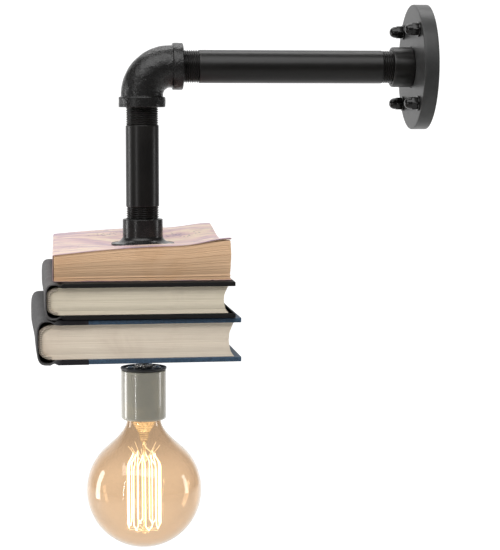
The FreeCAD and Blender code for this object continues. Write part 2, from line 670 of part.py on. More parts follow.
def screw_cap():
    """The brass cap: rolled thread ridges above a plain skirt that holds the glass."""
    top, thread_end = CAP_TIP - 4.0, CAP_BOTTOM + 4.5
    outline = [(9.6, top), (CAP_ROOT_R - 0.8, top - 0.6), (CAP_ROOT_R, top - 1.8)]
    count = int((top - 1.8 - thread_end) / CAP_PITCH)
    for k in range(count):
        for t, r in ((0.25, 0.5), (0.5, 1.0), (0.75, 0.5), (1.0, 0.0)):
            outline.append((CAP_ROOT_R + (CAP_CREST_R - CAP_ROOT_R) * r, top - 1.8 - CAP_PITCH * (k + t)))
    skirt = CAP_CREST_R + 0.1
    outline += [(CAP_ROOT_R + 0.2, thread_end), (skirt, CAP_BOTTOM + 0.3), (skirt, CAP_BOTTOM)]
    sheet = 0.3
    inside = [(r - sheet, z) for r, z in outline]
    return turned(outline + inside[::-1], on_stem(0), Z_AXIS)


def cap_insulator():
    top = CAP_TIP - 1.2
    return turned([(0, top), (5.5, top), (9.0, CAP_TIP - 3.9), (8.8, CAP_TIP - 5.0), (0, CAP_TIP - 5.0)],
                  on_stem(0), Z_AXIS)


def tip_contact():
    return turned([(0, CAP_TIP), (3.2, CAP_TIP - 0.3), (4.6, CAP_TIP - 1.15), (0, CAP_TIP - 1.15)],
                  on_stem(0), Z_AXIS)


def stem_glass():
    """The glass foot inside the neck: a flared skirt that narrows to the pinch holding the wires."""
    outline = [(0, -296.0), (3.0, -294.0), (4.0, -289.0), (10.5, CAP_BOTTOM - 1.5), (11.0, CAP_BOTTOM - 2.6),
               (5.4, -292.0), (PINCH_R, PINCH_END + 2.0), (0, PINCH_END)]
    return turned(outline, on_stem(0), Z_AXIS)


def mount_rod():
    """The glass rod down the middle, with a button at its lower end that carries the supports."""
    top = PINCH_END + 1.0
    rod = Part.makeCylinder(ROD_R, top - CAGE_BOTTOM, on_stem(top), -Z_AXIS)
    return rod.fuse(Part.makeSphere(2.4, on_stem(CAGE_BOTTOM))).removeSplitter()


def strand_angle(k):
    return 2 * math.pi * k / CAGE_STRANDS


def cage_point(k, upper):
    r = CAGE_R if upper else CAGE_R * 0.8
    z = CAGE_TOP if upper else CAGE_BOTTOM + 6.0
    return vec(STEM_X + r * math.cos(strand_angle(k)), r * math.sin(strand_angle(k)), z)


def rod_between(a, b, radius):
    return Part.makeCylinder(radius, (b - a).Length, a, b - a)


def filament():
    """One long carbon wire that runs down and up round the cage, hooked at each end of every strand."""
    strands = []
    for k in range(CAGE_STRANDS - 1):
        a, b = cage_point(k, k % 2 == 0), cage_point(k + 1, k % 2 == 1)
        strands.append(rod_between(a, b, FILAMENT_R).fuse(Part.makeSphere(FILAMENT_R, b)))
    whole = strands[0]
    for strand in strands[1:]:
        whole = whole.fuse(strand)
    return whole.removeSplitter()


def support_wires():
    """Thin hooks from the rod to every bend of the filament, stopping just short of it."""
    wires = []
    for k in range(1, CAGE_STRANDS - 1):
        upper = k % 2 == 0
        end = cage_point(k, upper)
        hub = vec(STEM_X, 0, CAGE_TOP + 6.0 if upper else CAGE_BOTTOM)
        out = (end - hub).normalize()
        reach = (end - hub).Length - FILAMENT_R - 0.4
        clear = 2.6
        wires.append(Part.makeCylinder(0.15, reach - clear, hub + out * clear, out))
    return wires


def lead_wires():
    """The two stiff wires from the pinch to the first and the last bend of the filament."""
    wires = []
    for k, side in ((0, 1), (CAGE_STRANDS - 1, -1)):
        foot = vec(STEM_X, 2.8 * side, PINCH_END + 0.9)
        wires.append(rod_between(foot, cage_point(k, True) + Z_AXIS * 0.5, 0.3))
    return wires


def main():
    os.makedirs("parts", exist_ok=True)
    save("wall_bracket", wall_bracket())
    save("canopy_studs", *canopy_studs())
    save("wall_canopy", wall_canopy())
    save("stud_washers", *stud_washers())
    save("dome_nuts", *[dome_nut(y, z) for y, z in stud_places()])
    save("wall_socket", wall_socket())
    save("pipe_locknut", pipe_locknut())
    save("terminal_block", terminal_block())
    save("terminal_screws", *terminal_screws())
    save("earth_screw", earth_screw())
    save("live_wire", lead(-WIRE_OFFSET))
    save("neutral_wire", lead(WIRE_OFFSET))
    save("earth_wire", *earth_wire())
    save("horizontal_pipe", arm_pipe())
    save("elbow", elbow())
    save("vertical_pipe", down_pipe())
    save("book_collar", book_collar())
    save("stem", tube(STEM_R, STEM_BORE_R, on_stem(STEM_BOTTOM), Z_AXIS, STEM_TOP - STEM_BOTTOM))
    save("stem_top_nut", stem_nut(COLLAR_FLOOR))
    under_stack = on_stem(BOTTOM["base"])
    save("stack_washer", tube(STACK_WASHER_R, STEM_R + 0.2, under_stack, -Z_AXIS, STACK_WASHER_THICK))
    save("stack_nut", stem_nut(BOTTOM["base"] - STACK_WASHER_THICK - NUT_THICK))
    for name, solid in top_book().items():
        save(name, solid)
    case_bound = hard_book(MIDDLE, "middle_book", "cloth", MIDDLE_CLOTH_REACH)
    case_bound.update(hard_book(BOTTOM, "bottom_book", "spine_cloth", BOTTOM_CLOTH_REACH))
    for name, solids in case_bound.items():
        save(name, *solids)
    save("holder_cap", holder_cap())
    save("holder_cap_nut", stem_nut(HOLDER_CAP_TOP - HOLDER_CAP_RIM + 0.8))
    save("holder_cap_screws", *holder_cap_screws())
    save("holder_body", holder_body())
    save("holder_screw_shell", screw_shell())
    save("holder_centre_contact", centre_contact())
    save("holder_side_contact", side_contact())
    save("holder_terminal_screws", *terminal_screw_pair())
    save("bulb_tip_contact", tip_contact())
    save("bulb_cap_insulator", cap_insulator())
    save("bulb_screw_cap", screw_cap())
    save("bulb_glass", bulb_glass())
    save("bulb_stem_glass", stem_glass())
    save("bulb_mount_rod", mount_rod())
    save("bulb_filament", filament())
    save("bulb_support_wires", *support_wires())
    save("bulb_lead_wires", *lead_wires())


main()
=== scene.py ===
"""Pipe wall lamp with a stack of books, laid out as an add-on.

Every group of pieces has its own operator, the sizes and colours that a user would change are properties of
the scene, and the design's own frame says where each piece goes. Lengths are metres: the wall is the plane
X = 0, the arm reaches to -X and Z is up.
"""

import json
import math

import bmesh
import bpy
import numpy as np
from bpy.props import FloatProperty, FloatVectorProperty, IntProperty, PointerProperty
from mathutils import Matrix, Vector


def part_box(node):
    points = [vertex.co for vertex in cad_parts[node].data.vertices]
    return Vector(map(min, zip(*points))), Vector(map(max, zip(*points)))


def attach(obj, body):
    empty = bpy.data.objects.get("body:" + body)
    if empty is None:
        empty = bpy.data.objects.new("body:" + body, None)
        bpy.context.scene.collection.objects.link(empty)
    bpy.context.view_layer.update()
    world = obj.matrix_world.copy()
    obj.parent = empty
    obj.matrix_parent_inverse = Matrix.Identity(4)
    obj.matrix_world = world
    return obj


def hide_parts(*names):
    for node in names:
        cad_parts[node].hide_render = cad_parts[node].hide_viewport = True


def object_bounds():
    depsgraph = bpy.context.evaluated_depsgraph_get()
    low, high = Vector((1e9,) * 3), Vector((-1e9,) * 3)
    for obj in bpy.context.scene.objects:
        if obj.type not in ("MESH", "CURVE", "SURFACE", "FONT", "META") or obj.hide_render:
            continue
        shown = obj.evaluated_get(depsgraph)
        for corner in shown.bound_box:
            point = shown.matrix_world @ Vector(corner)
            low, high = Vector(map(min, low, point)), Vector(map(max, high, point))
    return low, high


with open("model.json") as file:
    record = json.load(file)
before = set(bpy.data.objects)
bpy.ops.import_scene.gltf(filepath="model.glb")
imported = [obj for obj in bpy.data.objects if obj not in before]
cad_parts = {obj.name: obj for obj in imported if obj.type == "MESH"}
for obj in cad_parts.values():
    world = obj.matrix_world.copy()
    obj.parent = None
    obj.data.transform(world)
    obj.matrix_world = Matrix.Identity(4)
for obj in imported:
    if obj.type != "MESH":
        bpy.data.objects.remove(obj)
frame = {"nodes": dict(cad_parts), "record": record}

bl_info = {
    "name": "Pipe wall lamp with books",
    "version": (1, 0, 0),
    "blender": (4, 5, 0),
    "location": "View3D > Sidebar > Pipe lamp",
    "description": "Builds the looks of a wall lamp made of iron pipe, old books and a globe lamp",
    "category": "Object",
}

MM = 0.001
MERGE_DISTANCE = 0.002 * MM
ROUNDED_ABOVE = math.radians(50)
CAD_LOW, CAD_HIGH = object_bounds()
SLOT_OF = {row["node"]: row["material_slot"] for row in frame["record"]["subparts"]}
BODY_OF = {node: body for body, nodes in frame["record"]["behaviour"]["bodies"].items() for node in nodes}
LEFTWARDS = np.array([-1.0, 0.0, 0.0])
UPWARDS = np.array([0.0, 0.0, 1.0])
SIDEWAYS = np.array([0.0, 1.0, 0.0])


def box(node):
    """The lowest and the highest corner of a node of the design, as two arrays."""
    low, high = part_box(node)
    return np.array(low), np.array(high)


STEM_X = float(sum(box("stem"))[0] / 2)


# ---------------------------------------------------------------- settings
def length(millimetres, name, text):
    """A length property, with its default given in millimetres."""
    return FloatProperty(name=name, description=text, default=millimetres * MM, unit="LENGTH", precision=5)


def angle(degrees, name, text):
    """An angle property, with its default given in degrees."""
    return FloatProperty(name=name, description=text, default=math.radians(degrees), subtype="ANGLE")


def colour(red, green, blue, name, text):
    """A linear colour property."""
    return FloatVectorProperty(name=name, description=text, default=(red, green, blue), min=0.0, max=1.0,
                               size=3, subtype="COLOR")


def amount(default, name, text):
    """A plain number property."""
    return FloatProperty(name=name, description=text, default=default, min=0.0)


class LampPipeSettings(bpy.types.PropertyGroup):
    """Sizes of the arm, its fittings and the canopy."""

    thread_pitch: length(1.814, "Thread pitch", "Distance between two turns of the pipe thread")
    thread_depth: length(0.9, "Thread depth", "Height of the pipe thread's ridges")
    thread_gap: length(0.25, "Thread step", "How far the ridges stay below the plain pipe")
    wall: length(2.6, "Pipe wall", "Thickness of the pipe")
    arm_thread_wall: length(32.1, "Thread at the wall", "Threaded length of the arm at the canopy")
    arm_thread_elbow: length(25.1, "Thread at the elbow", "Threaded length of the arm at the elbow")
    drop_thread_top: length(26.5, "Upper thread", "Threaded length of the drop pipe in the elbow")
    drop_thread_bottom: length(21.8, "Lower thread", "Threaded length of the drop pipe in the collar")
    bend: length(22.8, "Elbow bend", "Radius of the elbow's middle line")
    elbow_body: length(17.1, "Elbow body", "Outside radius of the elbow between its beads")
    bead_width: length(8.5, "Bead width", "Width of the rims at both mouths of the elbow")
    collar_waist: length(14.0, "Collar waist", "Height of the straight part of the book collar")
    canopy_sheet: length(2.0, "Canopy sheet", "Thickness of the canopy's metal")
    nut_hexagon: length(5.0, "Nut hexagon", "Height of the dome nuts' hexagon")
    nut_flats: length(10.0, "Nut flats", "Distance across the flats of the dome nuts")
    nut_dome: length(5.4, "Nut dome", "Height of the dome nuts' domes")


class LampBookSettings(bpy.types.PropertyGroup):
    """Sizes of the books: X is measured from the stem, negative to the spine."""

    top_turn: angle(-1.1, "Top turn", "How far the top book is turned on the stem")
    top_spine: length(-73.0, "Top spine", "Place of the top book's spine")
    top_fore: length(63.0, "Top fore-edge", "Place of the top book's fore-edge")
    top_half: length(100.0, "Top half height", "Half the height of the top book's leaves")
    top_rise: length(6.5, "Top rise", "How far the loose leaves swell")
    far_rise: length(2.4, "Far rise", "How much higher the spine stands at its far end")
    near_curl: length(5.5, "Near curl", "Lift of the cover's near corner")
    far_curl: length(4.6, "Far curl", "Lift of the cover's far corner")
    card: length(0.4, "Card", "Thickness of the soft cover")
    leaf: length(0.3, "Leaf", "Thickness of the first leaf")
    cloth: length(0.5, "Cloth", "Thickness of the bookbinder's cloth")
    spine_reach: length(32.0, "Cloth reach", "How far the bottom book's spine cloth lies over its boards")


class LampHolderSettings(bpy.types.PropertyGroup):
    """Sizes of the lamp holder and of what carries it."""

    stem_thread: length(1.0, "Stem pitch", "Pitch of the stem's fine thread")
    nut_flats: length(14.0, "Nut flats", "Distance across the flats of the stem's nuts")
    glaze_edge: length(2.4, "Glaze edge", "Rounding of the porcelain's lower edge")
    porcelain_bore: length(14.9, "Porcelain bore", "Radius of the porcelain's mouth")
    tray_rim: length(0.8, "Tray rim", "Thickness of the tray's turned-up rim")


class LampBulbSettings(bpy.types.PropertyGroup):
    """Sizes of the globe lamp."""

    wall: length(0.8, "Glass wall", "Thickness of the globe's glass")
    cap_pitch: length(3.62, "Cap pitch", "Pitch of the lamp cap's rolled thread")
    cap_depth: length(0.9, "Cap depth", "Height of the cap's thread")
    cage: length(13.7, "Cage radius", "Radius of the filament's cage")
    wire: length(0.42, "Filament radius", "Radius of the glowing wire with its fine coils")
    glow: amount(6.0, "Glow", "Strength of the filament's light")
    strands: IntProperty(name="Strands", description="Straight runs of the filament", default=16, min=4)


class LampFinishSettings(bpy.types.PropertyGroup):
    """Colours of the finishes."""

    pipe: colour(0.0062, 0.0056, 0.0050, "Pipe black", "Satin enamel of the pipes")
    casting: colour(0.0065, 0.0062, 0.0060, "Casting black", "Black paint of the elbow and the collar")
    canopy: colour(0.038, 0.0385, 0.038, "Canopy grey", "Powder coat of the canopy")
    glaze: colour(0.580, 0.545, 0.440, "Porcelain", "Grey glaze of the lamp holder")
    amber: colour(0.850, 0.695, 0.540, "Amber", "Tint of the globe's glass")
    rim: colour(0.850, 0.765, 0.670, "Glass rim", "Tint of the globe's glass where it is seen edge on")
    aged: colour(0.740, 0.490, 0.300, "Aged paper", "Leaves of the top book")
    grey: colour(0.780, 0.695, 0.545, "Grey paper", "Leaves of the middle book")
    cream: colour(0.840, 0.730, 0.590, "Cream paper", "Leaves of the bottom book")
    cloth: colour(0.009, 0.0085, 0.0085, "Black cloth", "Cloth of the middle book")
    charcoal: colour(0.014, 0.0135, 0.016, "Charcoal cloth", "Spine cloth of the bottom book")
    blue: colour(0.030, 0.062, 0.105, "Blue board", "Covered boards of the bottom book")
    glow: colour(1.0, 0.76, 0.42, "Glow", "Light of the filament")


class LampStageSettings(bpy.types.PropertyGroup):
    """Camera, lights and floor."""

    distance: length(1423.0, "Camera distance", "How far in front of the stem the camera stands")
    side: length(87.4, "Camera side", "How far to the wall side of the stem the camera stands")
    drop: length(36.6, "Camera drop", "How far below the arm the camera stands")
    turn: angle(7.3, "Camera turn", "How far the camera turns towards the wall")
    dip: angle(5.33, "Camera dip", "How far the camera looks down")
    lens: FloatProperty(name="Lens", description="Focal length in millimetres", default=114.5, min=10.0)
    floor_drop: length(350.0, "Floor drop", "How far below the lamp the floor lies")
    room: colour(0.13, 0.13, 0.133, "Room", "Dim light from all round")


# ---------------------------------------------------------------- surfaces
def grid(points, wrap_rows=False, wrap_columns=False, uv=None):
    """A sheet of quads over rows by columns of points. Quad (i, j) joins point (i, j) with its neighbours
    in the next row and the next column, and either direction may close on itself."""
    rows, columns = points.shape[:2]
    i = np.arange(rows if wrap_rows else rows - 1)[:, None]
    j = np.arange(columns if wrap_columns else columns - 1)[None, :]
    below, beside = (i + 1) % rows, (j + 1) % columns
    corners = [i * columns + j, below * columns + j, below * columns + beside, i * columns + beside]
    quads = np.stack(np.broadcast_arrays(*corners), axis=-1).reshape(-1, 4)
    flat = np.zeros((rows * columns, 2)) if uv is None else uv.reshape(-1, 2)
    return {"points": points.reshape(-1, 3), "faces": quads, "uv": flat}


def rounded(*corners, steps=6):
    """A closed outline of (radius, height, rounding) corners. Each corner is the curve a(1-t)^2 + 2ct(1-t)
    + bt^2 from a point a before the corner c to a point b after it, both the rounding away."""
    spots = np.array([corner[:2] for corner in corners], float)
    outline = []
    for spot, before, after, corner in zip(spots, np.roll(spots, 1, 0), np.roll(spots, -1, 0), corners):
        if len(corner) < 3 or corner[2] == 0:
            outline.append(spot[None])
            continue
        start = spot + (before - spot) / np.linalg.norm(before - spot) * corner[2]
        end = spot + (after - spot) / np.linalg.norm(after - spot) * corner[2]
        t = np.linspace(0, 1, steps)[:, None]
        outline.append((1 - t) ** 2 * start + 2 * t * (1 - t) * spot + t ** 2 * end)
    return np.concatenate(outline)


def angles_round(count):
    """Evenly spaced angles of one whole turn."""
    return np.arange(count) * 2 * math.pi / count


def lathe(radius, height, origin, axis, wrap_rows=True):
    """Points at the given radii and heights round an axis. Radius is a column for a plain turned shape, or
    a whole array with one value for each row and each of its evenly spaced angles."""
    radius, height = np.atleast_2d(radius), np.reshape(height, (-1, 1))
    theta = angles_round(radius.shape[1] if radius.shape[1] > 1 else 96)[None, :]
    across = np.cos(theta)[..., None] * SIDEWAYS + np.sin(theta)[..., None] * np.cross(axis, SIDEWAYS)
    points = np.asarray(origin, float) + height[..., None] * axis + radius[..., None] * across
    return grid(points, wrap_rows=wrap_rows, wrap_columns=True)


def turned(outline, origin, axis):
    """A closed outline of (radius, height) points turned once about an axis."""
    return lathe(outline[:, :1], outline[:, 1], origin, axis)


def thread(theta, height, pitch, depth):
    """How far below its crest a screw thread lies: a triangle wave of height over pitch less the turn, with
    its crest and root cut flat."""
    wave = np.abs((height / pitch - theta / (2 * math.pi)) % 1.0 * 2 - 1)
    return depth * np.clip(wave * 1.4 - 0.2, 0, 1)


def smooth(t):
    """The curve 3t^2 - 2t^3 between 0 and 1, level outside."""
    t = np.clip(t, 0, 1)
    return t * t * (3 - 2 * t)


def wobble(seed, count, where):
    """A repeatable uneven line: random values at whole numbers, joined by straight runs."""
    values = np.random.default_rng(seed).normal(size=count + 2)
    return np.interp(where, np.arange(count + 2), values)


def block(place, *marks, extent=(1, 1, 1)):
    """The six sides of a unit cube, each a grid, carried into space by place(a, b, c). The UV map runs
    along the side in metres, and up through the layers."""
    marks = [np.linspace(0, 1, mark) if isinstance(mark, int) else mark for mark in marks]
    steps = dict(zip("abc", marks))
    sizes = dict(zip("abc", extent))
    sheets = []
    for fixed, first, second in (("a", "b", "c"), ("b", "a", "c"), ("c", "a", "b")):
        u, v = np.meshgrid(steps[first], steps[second], indexing="ij")
        for end in (0.0, 1.0):
            at = {fixed: np.full_like(u, end), first: u, second: v}
            uv = np.stack([u * sizes[first], (v if second == "c" else 0 * v + end) * sizes["c"]], axis=-1)
            sheets.append(grid(place(at["a"], at["b"], at["c"]), uv=uv))
    return sheets


def tube(path, radius, sides=10):
    """A round tube along points: a ring square to the path's direction at each point, closed by a cap's
    centre at both ends."""
    forward = np.gradient(path, axis=0)
    forward /= np.linalg.norm(forward, axis=1)[:, None]
    guide = np.where(np.abs(forward @ SIDEWAYS)[:, None] < 0.9, SIDEWAYS, UPWARDS)
    across = np.cross(forward, guide)
    across /= np.linalg.norm(across, axis=1)[:, None]
    other = np.cross(forward, across)
    theta = angles_round(sides)[None, :, None]
    rings = path[:, None] + radius * (np.cos(theta) * across[:, None] + np.sin(theta) * other[:, None])
    ends = [np.broadcast_to(path[k], (1, sides, 3)) for k in (0, -1)]
    return grid(np.concatenate([ends[0], rings, ends[1]]), wrap_columns=True)


def hexagon_radius(theta, flats):
    """Distance from a hexagon's centre to its side: half the flats over the cosine of the angle from the
    side's middle."""
    off_middle = (theta + math.pi / 6) % (math.pi / 3) - math.pi / 6
    return flats / 2 / np.cos(off_middle)


def hex_nut(flats, thick, bore, origin, axis, dome=None):
    """A chamfered hexagon: at each height the smaller of the hexagon's radius and a cone's. A dome (radius,
    height) closes it, and without one a bore runs through."""
    theta = angles_round(96) + math.pi / 6
    corner = flats / math.sqrt(3)
    face = flats / 2 * 0.97
    heights = np.array([0, 0, 0.12, 0.88, 1.0, 1.0]) * thick
    limits = np.array([bore, face, corner, corner, face, bore])
    if dome:
        lift = np.linspace(0, math.pi / 2, 14)
        heights = np.concatenate([[0], heights[:-1], thick + dome[1] * np.sin(lift)])
        limits = np.concatenate([[0], limits[:-1], dome[0] * np.cos(lift) ** 0.8])
        limits[1] = limits[2]
    radius = np.minimum(hexagon_radius(theta, flats)[None, :], limits[:, None])
    return lathe(radius, heights, origin, axis, wrap_rows=dome is None)


def placed(name, data):
    """A new object of the scene round a mesh, a light or a camera."""
    made = bpy.data.objects.new(name, data)
    bpy.context.scene.collection.objects.link(made)
    return made


def piece(name, sheets, *nodes, crease=35.0, bevel=0.0, skin=0.0, look=None):
    """Join grids into one mesh whose doubles are merged and whose faces point outwards. The piece stands
    for CAD nodes, rides on their body and has their slot's finish or a look of its own. Bevel rounds its
    edges, and skin makes it a hollow shell of that thickness."""
    starts = np.cumsum([0] + [len(sheet["points"]) for sheet in sheets[:-1]])
    mesh = bpy.data.meshes.new(name)
    faces = np.concatenate([sheet["faces"] + start for sheet, start in zip(sheets, starts)])
    mesh.from_pydata(np.concatenate([sheet["points"] for sheet in sheets]), [], faces.tolist())
    corners = np.empty(len(mesh.loops), np.int32)
    mesh.loops.foreach_get("vertex_index", corners)
    uv = np.concatenate([sheet["uv"] for sheet in sheets])[corners]
    mesh.uv_layers.new(name="Surface").data.foreach_set("uv", uv.astype(np.float32).ravel())
    shell = bmesh.new()
    shell.from_mesh(mesh)
    bmesh.ops.remove_doubles(shell, verts=shell.verts, dist=MERGE_DISTANCE)
    bmesh.ops.recalc_face_normals(shell, faces=shell.faces)
    shell.to_mesh(mesh)
    shell.free()
    mesh.shade_smooth()
    mesh.set_sharp_from_angle(angle=math.radians(crease))
    made = placed(name, mesh)
    if bevel:
        rounding = made.modifiers.new("Rounding", "BEVEL")
        rounding.width, rounding.segments, rounding.limit_method = bevel, 3, "ANGLE"
        rounding.angle_limit = ROUNDED_ABOVE
    if skin:
        wall = made.modifiers.new("Wall", "SOLIDIFY")
        wall.thickness, wall.offset = skin, -1.0
    made.data.materials.append(finish_of(look or SLOT_OF[nodes[0]]))
    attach(made, BODY_OF[nodes[0]])
    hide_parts(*nodes)
    return made


# ---------------------------------------------------------------- shader expressions
class Signal:
    """An output of a material's node that takes part in arithmetic: each operator adds one Math node."""

    def __init__(self, finish, socket):
        self.finish, self.socket = finish, socket

    def math(self, operation, *values):
        return self.finish.node("ShaderNodeMath", {"operation": operation}, dict(enumerate(values)))

    def __add__(self, other):
        return self.math("ADD", self, other)

    def __rsub__(self, other):
        return self.math("SUBTRACT", other, self)

    def __mul__(self, other):
        return self.math("MULTIPLY", self, other)

    __radd__, __rmul__ = __add__, __mul__

    def sine(self):
        return self.math("SINE", self)

    def between(self, low, high):
        """A smooth step from 0 at the low value to 1 at the high one."""
        return self.finish.node("ShaderNodeMapRange", {"interpolation_type": "SMOOTHSTEP"},
                                {"Value": self, "From Min": low, "From Max": high})


class Finish:
    """A material round one Principled shader: numbers are set on its sockets, and signals are linked to
    them."""

    def __init__(self, name):
        self.material = bpy.data.materials.new(name)
        self.material.use_nodes = True
        self.tree = self.material.node_tree
        self.shader = self.tree.nodes["Principled BSDF"]

    def node(self, kind, settings=None, inputs=None, output=0):
        """Add a node: first its settings, a ramp's stops among them, then the values or links of its
        inputs."""
        made = self.tree.nodes.new(kind)
        for key, value in (settings or {}).items():
            if key == "stops":
                self.set_stops(made.color_ramp.elements, value)
            else:
                setattr(made, key, value)
        for key, value in (inputs or {}).items():
            self.feed(made.inputs[key], value)
        return Signal(self, made.outputs[output])

    def feed(self, socket, value):
        """Link a signal to a socket, or set a number or a colour on it."""
        if isinstance(value, Signal):
            self.tree.links.new(value.socket, socket)
        elif socket.type == "RGBA":
            socket.default_value = (*value[:3], 1.0)
        else:
            socket.default_value = value

    @staticmethod
    def set_stops(elements, stops):
        while len(elements) < len(stops):
            elements.new(0.5)
        for element, (place, tone) in zip(elements, stops):
            element.position, element.color = place, (*tone, 1.0)

    def set(self, **values):
        """Feed the shader's sockets by name, with _ for a space."""
        for key, value in values.items():
            self.feed(self.shader.inputs[key.replace("_", " ")], value)

    def where(self, stretch=(1, 1, 1), surface=False):
        """The place on the object, or on the surface's own UV map, in metres, stretched along its axes."""
        place = self.node("ShaderNodeTexCoord", output=2 if surface else 3)
        return self.node("ShaderNodeMapping", inputs={"Vector": place, "Scale": stretch})

    def noise(self, scale, detail=3.0, stretch=(1, 1, 1), surface=False, twist=0.0, rough=0.5):
        """Cloudy noise between 0 and 1, about so many clouds to the metre."""
        inputs = {"Vector": self.where(stretch, surface), "Scale": scale, "Detail": detail,
                  "Roughness": rough, "Distortion": twist}
        return self.node("ShaderNodeTexNoise", inputs=inputs)

    def cells(self, scale):
        """Distance to the nearest of many scattered points."""
        return self.node("ShaderNodeTexVoronoi", inputs={"Vector": self.where(), "Scale": scale})

    def axis(self, index):
        """One of the object's own coordinates, in metres."""
        return self.node("ShaderNodeSeparateXYZ", inputs={0: self.where()}, output=index)

    def mix(self, share, first, second):
        """From the first colour at a share of 0 to the second at 1."""
        return self.node("ShaderNodeMix", {"data_type": "RGBA"}, {0: share, 6: first, 7: second}, output=2)

    def tones(self, signal, *stops):
        """A colour ramp over a signal."""
        return self.node("ShaderNodeValToRGB", {"stops": stops}, {0: signal})

    def relief(self, height, depth, under=None):
        """A bump whose height of 1 stands proud by the depth in metres, over another one if given."""
        inputs = {"Height": height, "Distance": depth, "Strength": 1.0}
        if under:
            inputs["Normal"] = under
        return self.node("ShaderNodeBump", inputs=inputs)


def shade(tone, factor):
    """A colour made lighter or darker."""
    return tuple(min(1.0, part * factor) for part in tone)


# ---------------------------------------------------------------- finishes
def enamel(finish, tone, roughness, grain, depth, dust=1.6):
    """Satin paint on iron: cloudy tone, dusty raised spots, and the grain of the metal under it."""
    finish.set(Specular_IOR_Level=0.32, Coat_Weight=0.06, Coat_Roughness=0.2)
    clouds, specks = finish.noise(38.0, 4.0), finish.noise(grain, 4.0, rough=0.6)
    worn = finish.noise(160.0, 5.0, rough=0.7).between(0.56, 0.78)
    base = finish.mix(clouds.between(0.3, 0.7), shade(tone, 0.75), shade(tone, 1.25))
    finish.set(Base_Color=finish.mix(worn * 0.6, base, shade(tone, dust)))
    finish.set(Roughness=roughness - 0.07 + clouds * 0.1 + specks * 0.06)
    waves = finish.relief(finish.noise(60.0, 2.0), 0.12 * MM)
    finish.set(Normal=finish.relief(specks, depth, waves))


def cast_iron(finish, tone):
    """Black paint on iron: close pebbles over slow waves on the cast elbow, and almost smooth on the turned
    collar, which hangs lower."""
    collar_top, elbow_foot = -0.11, -0.08
    finish.set(Specular_IOR_Level=0.36, Coat_Weight=0.08, Coat_Roughness=0.14)
    sand = finish.axis(2).between(collar_top, elbow_foot) * 0.93 + 0.07
    pebbles = finish.noise(270.0, 5.0, rough=0.66, twist=0.5)
    pits = finish.cells(700.0)
    # Painted light and shade: the pebbles' raised tops are painted lighter and the ground between them
    # darker; the tops are also glossier.
    hollow = pebbles.between(0.35, 0.6)
    finish.set(Base_Color=finish.mix(hollow, shade(tone, 0.7), shade(tone, 1.5)))
    finish.set(Roughness=0.38 - hollow * 0.13)
    waves = finish.relief(finish.noise(70.0, 3.0) * sand, 0.45 * MM)
    finish.set(Normal=finish.relief((pebbles + pits * 0.35) * sand, 0.36 * MM, waves))


def bare_metal(finish, tone, roughness):
    """Plated or drawn metal: fine streaks, and darker tarnish in cloudy spots."""
    finish.set(Metallic=1.0)
    lines = finish.noise(900.0, 3.0, stretch=(1, 1, 12))
    tarnish = finish.noise(90.0, 4.0, rough=0.65).between(0.5, 0.75)
    finish.set(Base_Color=finish.mix(tarnish * 0.5, tone, shade(tone, 0.55)))
    finish.set(Roughness=roughness + lines * 0.12 + tarnish * 0.15)
    finish.set(Normal=finish.relief(lines, 0.012 * MM))


def glazed(finish, tone):
    """Grey porcelain glaze: faint drifts of warm and cool tone, iron specks and an almost even gloss."""
    finish.set(IOR=1.52, Coat_Weight=1.0, Coat_Roughness=0.04)
    drift, specks = finish.noise(45.0, 4.0, twist=0.6), finish.cells(420.0)
    warm = finish.mix(drift.between(0.35, 0.65), shade(tone, 0.93), (tone[0] * 1.08, tone[1] * 1.05, tone[2]))
    finish.set(Base_Color=finish.mix((1 - specks.between(0.04, 0.10)) * 0.35, warm, shade(tone, 0.45)))
    finish.set(Roughness=0.24 + drift * 0.12)
    finish.set(Normal=finish.relief(finish.noise(75.0, 2.0), 0.10 * MM))


def glass(finish, tone, rim):
    """Blown glass: tinted right through, deeper at the sides, paler at the very rim, and darker at the neck
    as painted shade.
    """
    neck_foot, neck_top = -0.332, -0.296
    finish.set(Transmission_Weight=1.0, IOR=1.45, Roughness=0.0)
    depth = finish.noise(11.0, 2.0, twist=1.0)
    slant = finish.node("ShaderNodeLayerWeight", inputs={"Blend": 0.5}, output=1)
    through = finish.mix(depth.between(0.35, 0.65), shade(tone, 0.955), shade(tone, 1.02))
    # Painted shade: the glass is darkened by height towards the neck under the holder.
    through = finish.mix(finish.axis(2).between(neck_foot, neck_top) * 0.9, through, shade(tone, 0.7))
    through = finish.mix(slant.between(0.22, 0.62) * 0.75, through, shade(tone, 0.9))
    finish.set(Base_Color=finish.mix(slant.between(0.62, 0.95), through, rim))
    finish.set(Normal=finish.relief(finish.noise(28.0, 1.5), 0.05 * MM))


def painted_glow_glass(finish, tone):
    """Clear glass close to the filament: painted glow in rings along its folds that crowd and fade, and in
    spots.
    """
    finish.set(Transmission_Weight=1.0, IOR=1.45, Roughness=0.05, Emission_Strength=1.0)
    rings = (finish.axis(2) * 3300.0 + finish.noise(260.0, 2.0) * 9.0).sine().between(-0.3, 0.95)
    spots = finish.noise(420.0, 3.0, rough=0.6).between(0.38, 0.62)
    # Painted glow: rings and spots give the glass light of its own, standing in for the filament's light
    # caught in it.
    finish.set(Emission_Color=finish.mix(rings * 0.4 + spots * 0.3, shade(tone, 0.02), shade(tone, 0.7)))
    finish.set(Base_Color=finish.mix(spots, (0.97, 0.90, 0.80), (1.0, 0.97, 0.92)))
    finish.set(Normal=finish.relief(rings, 0.05 * MM))


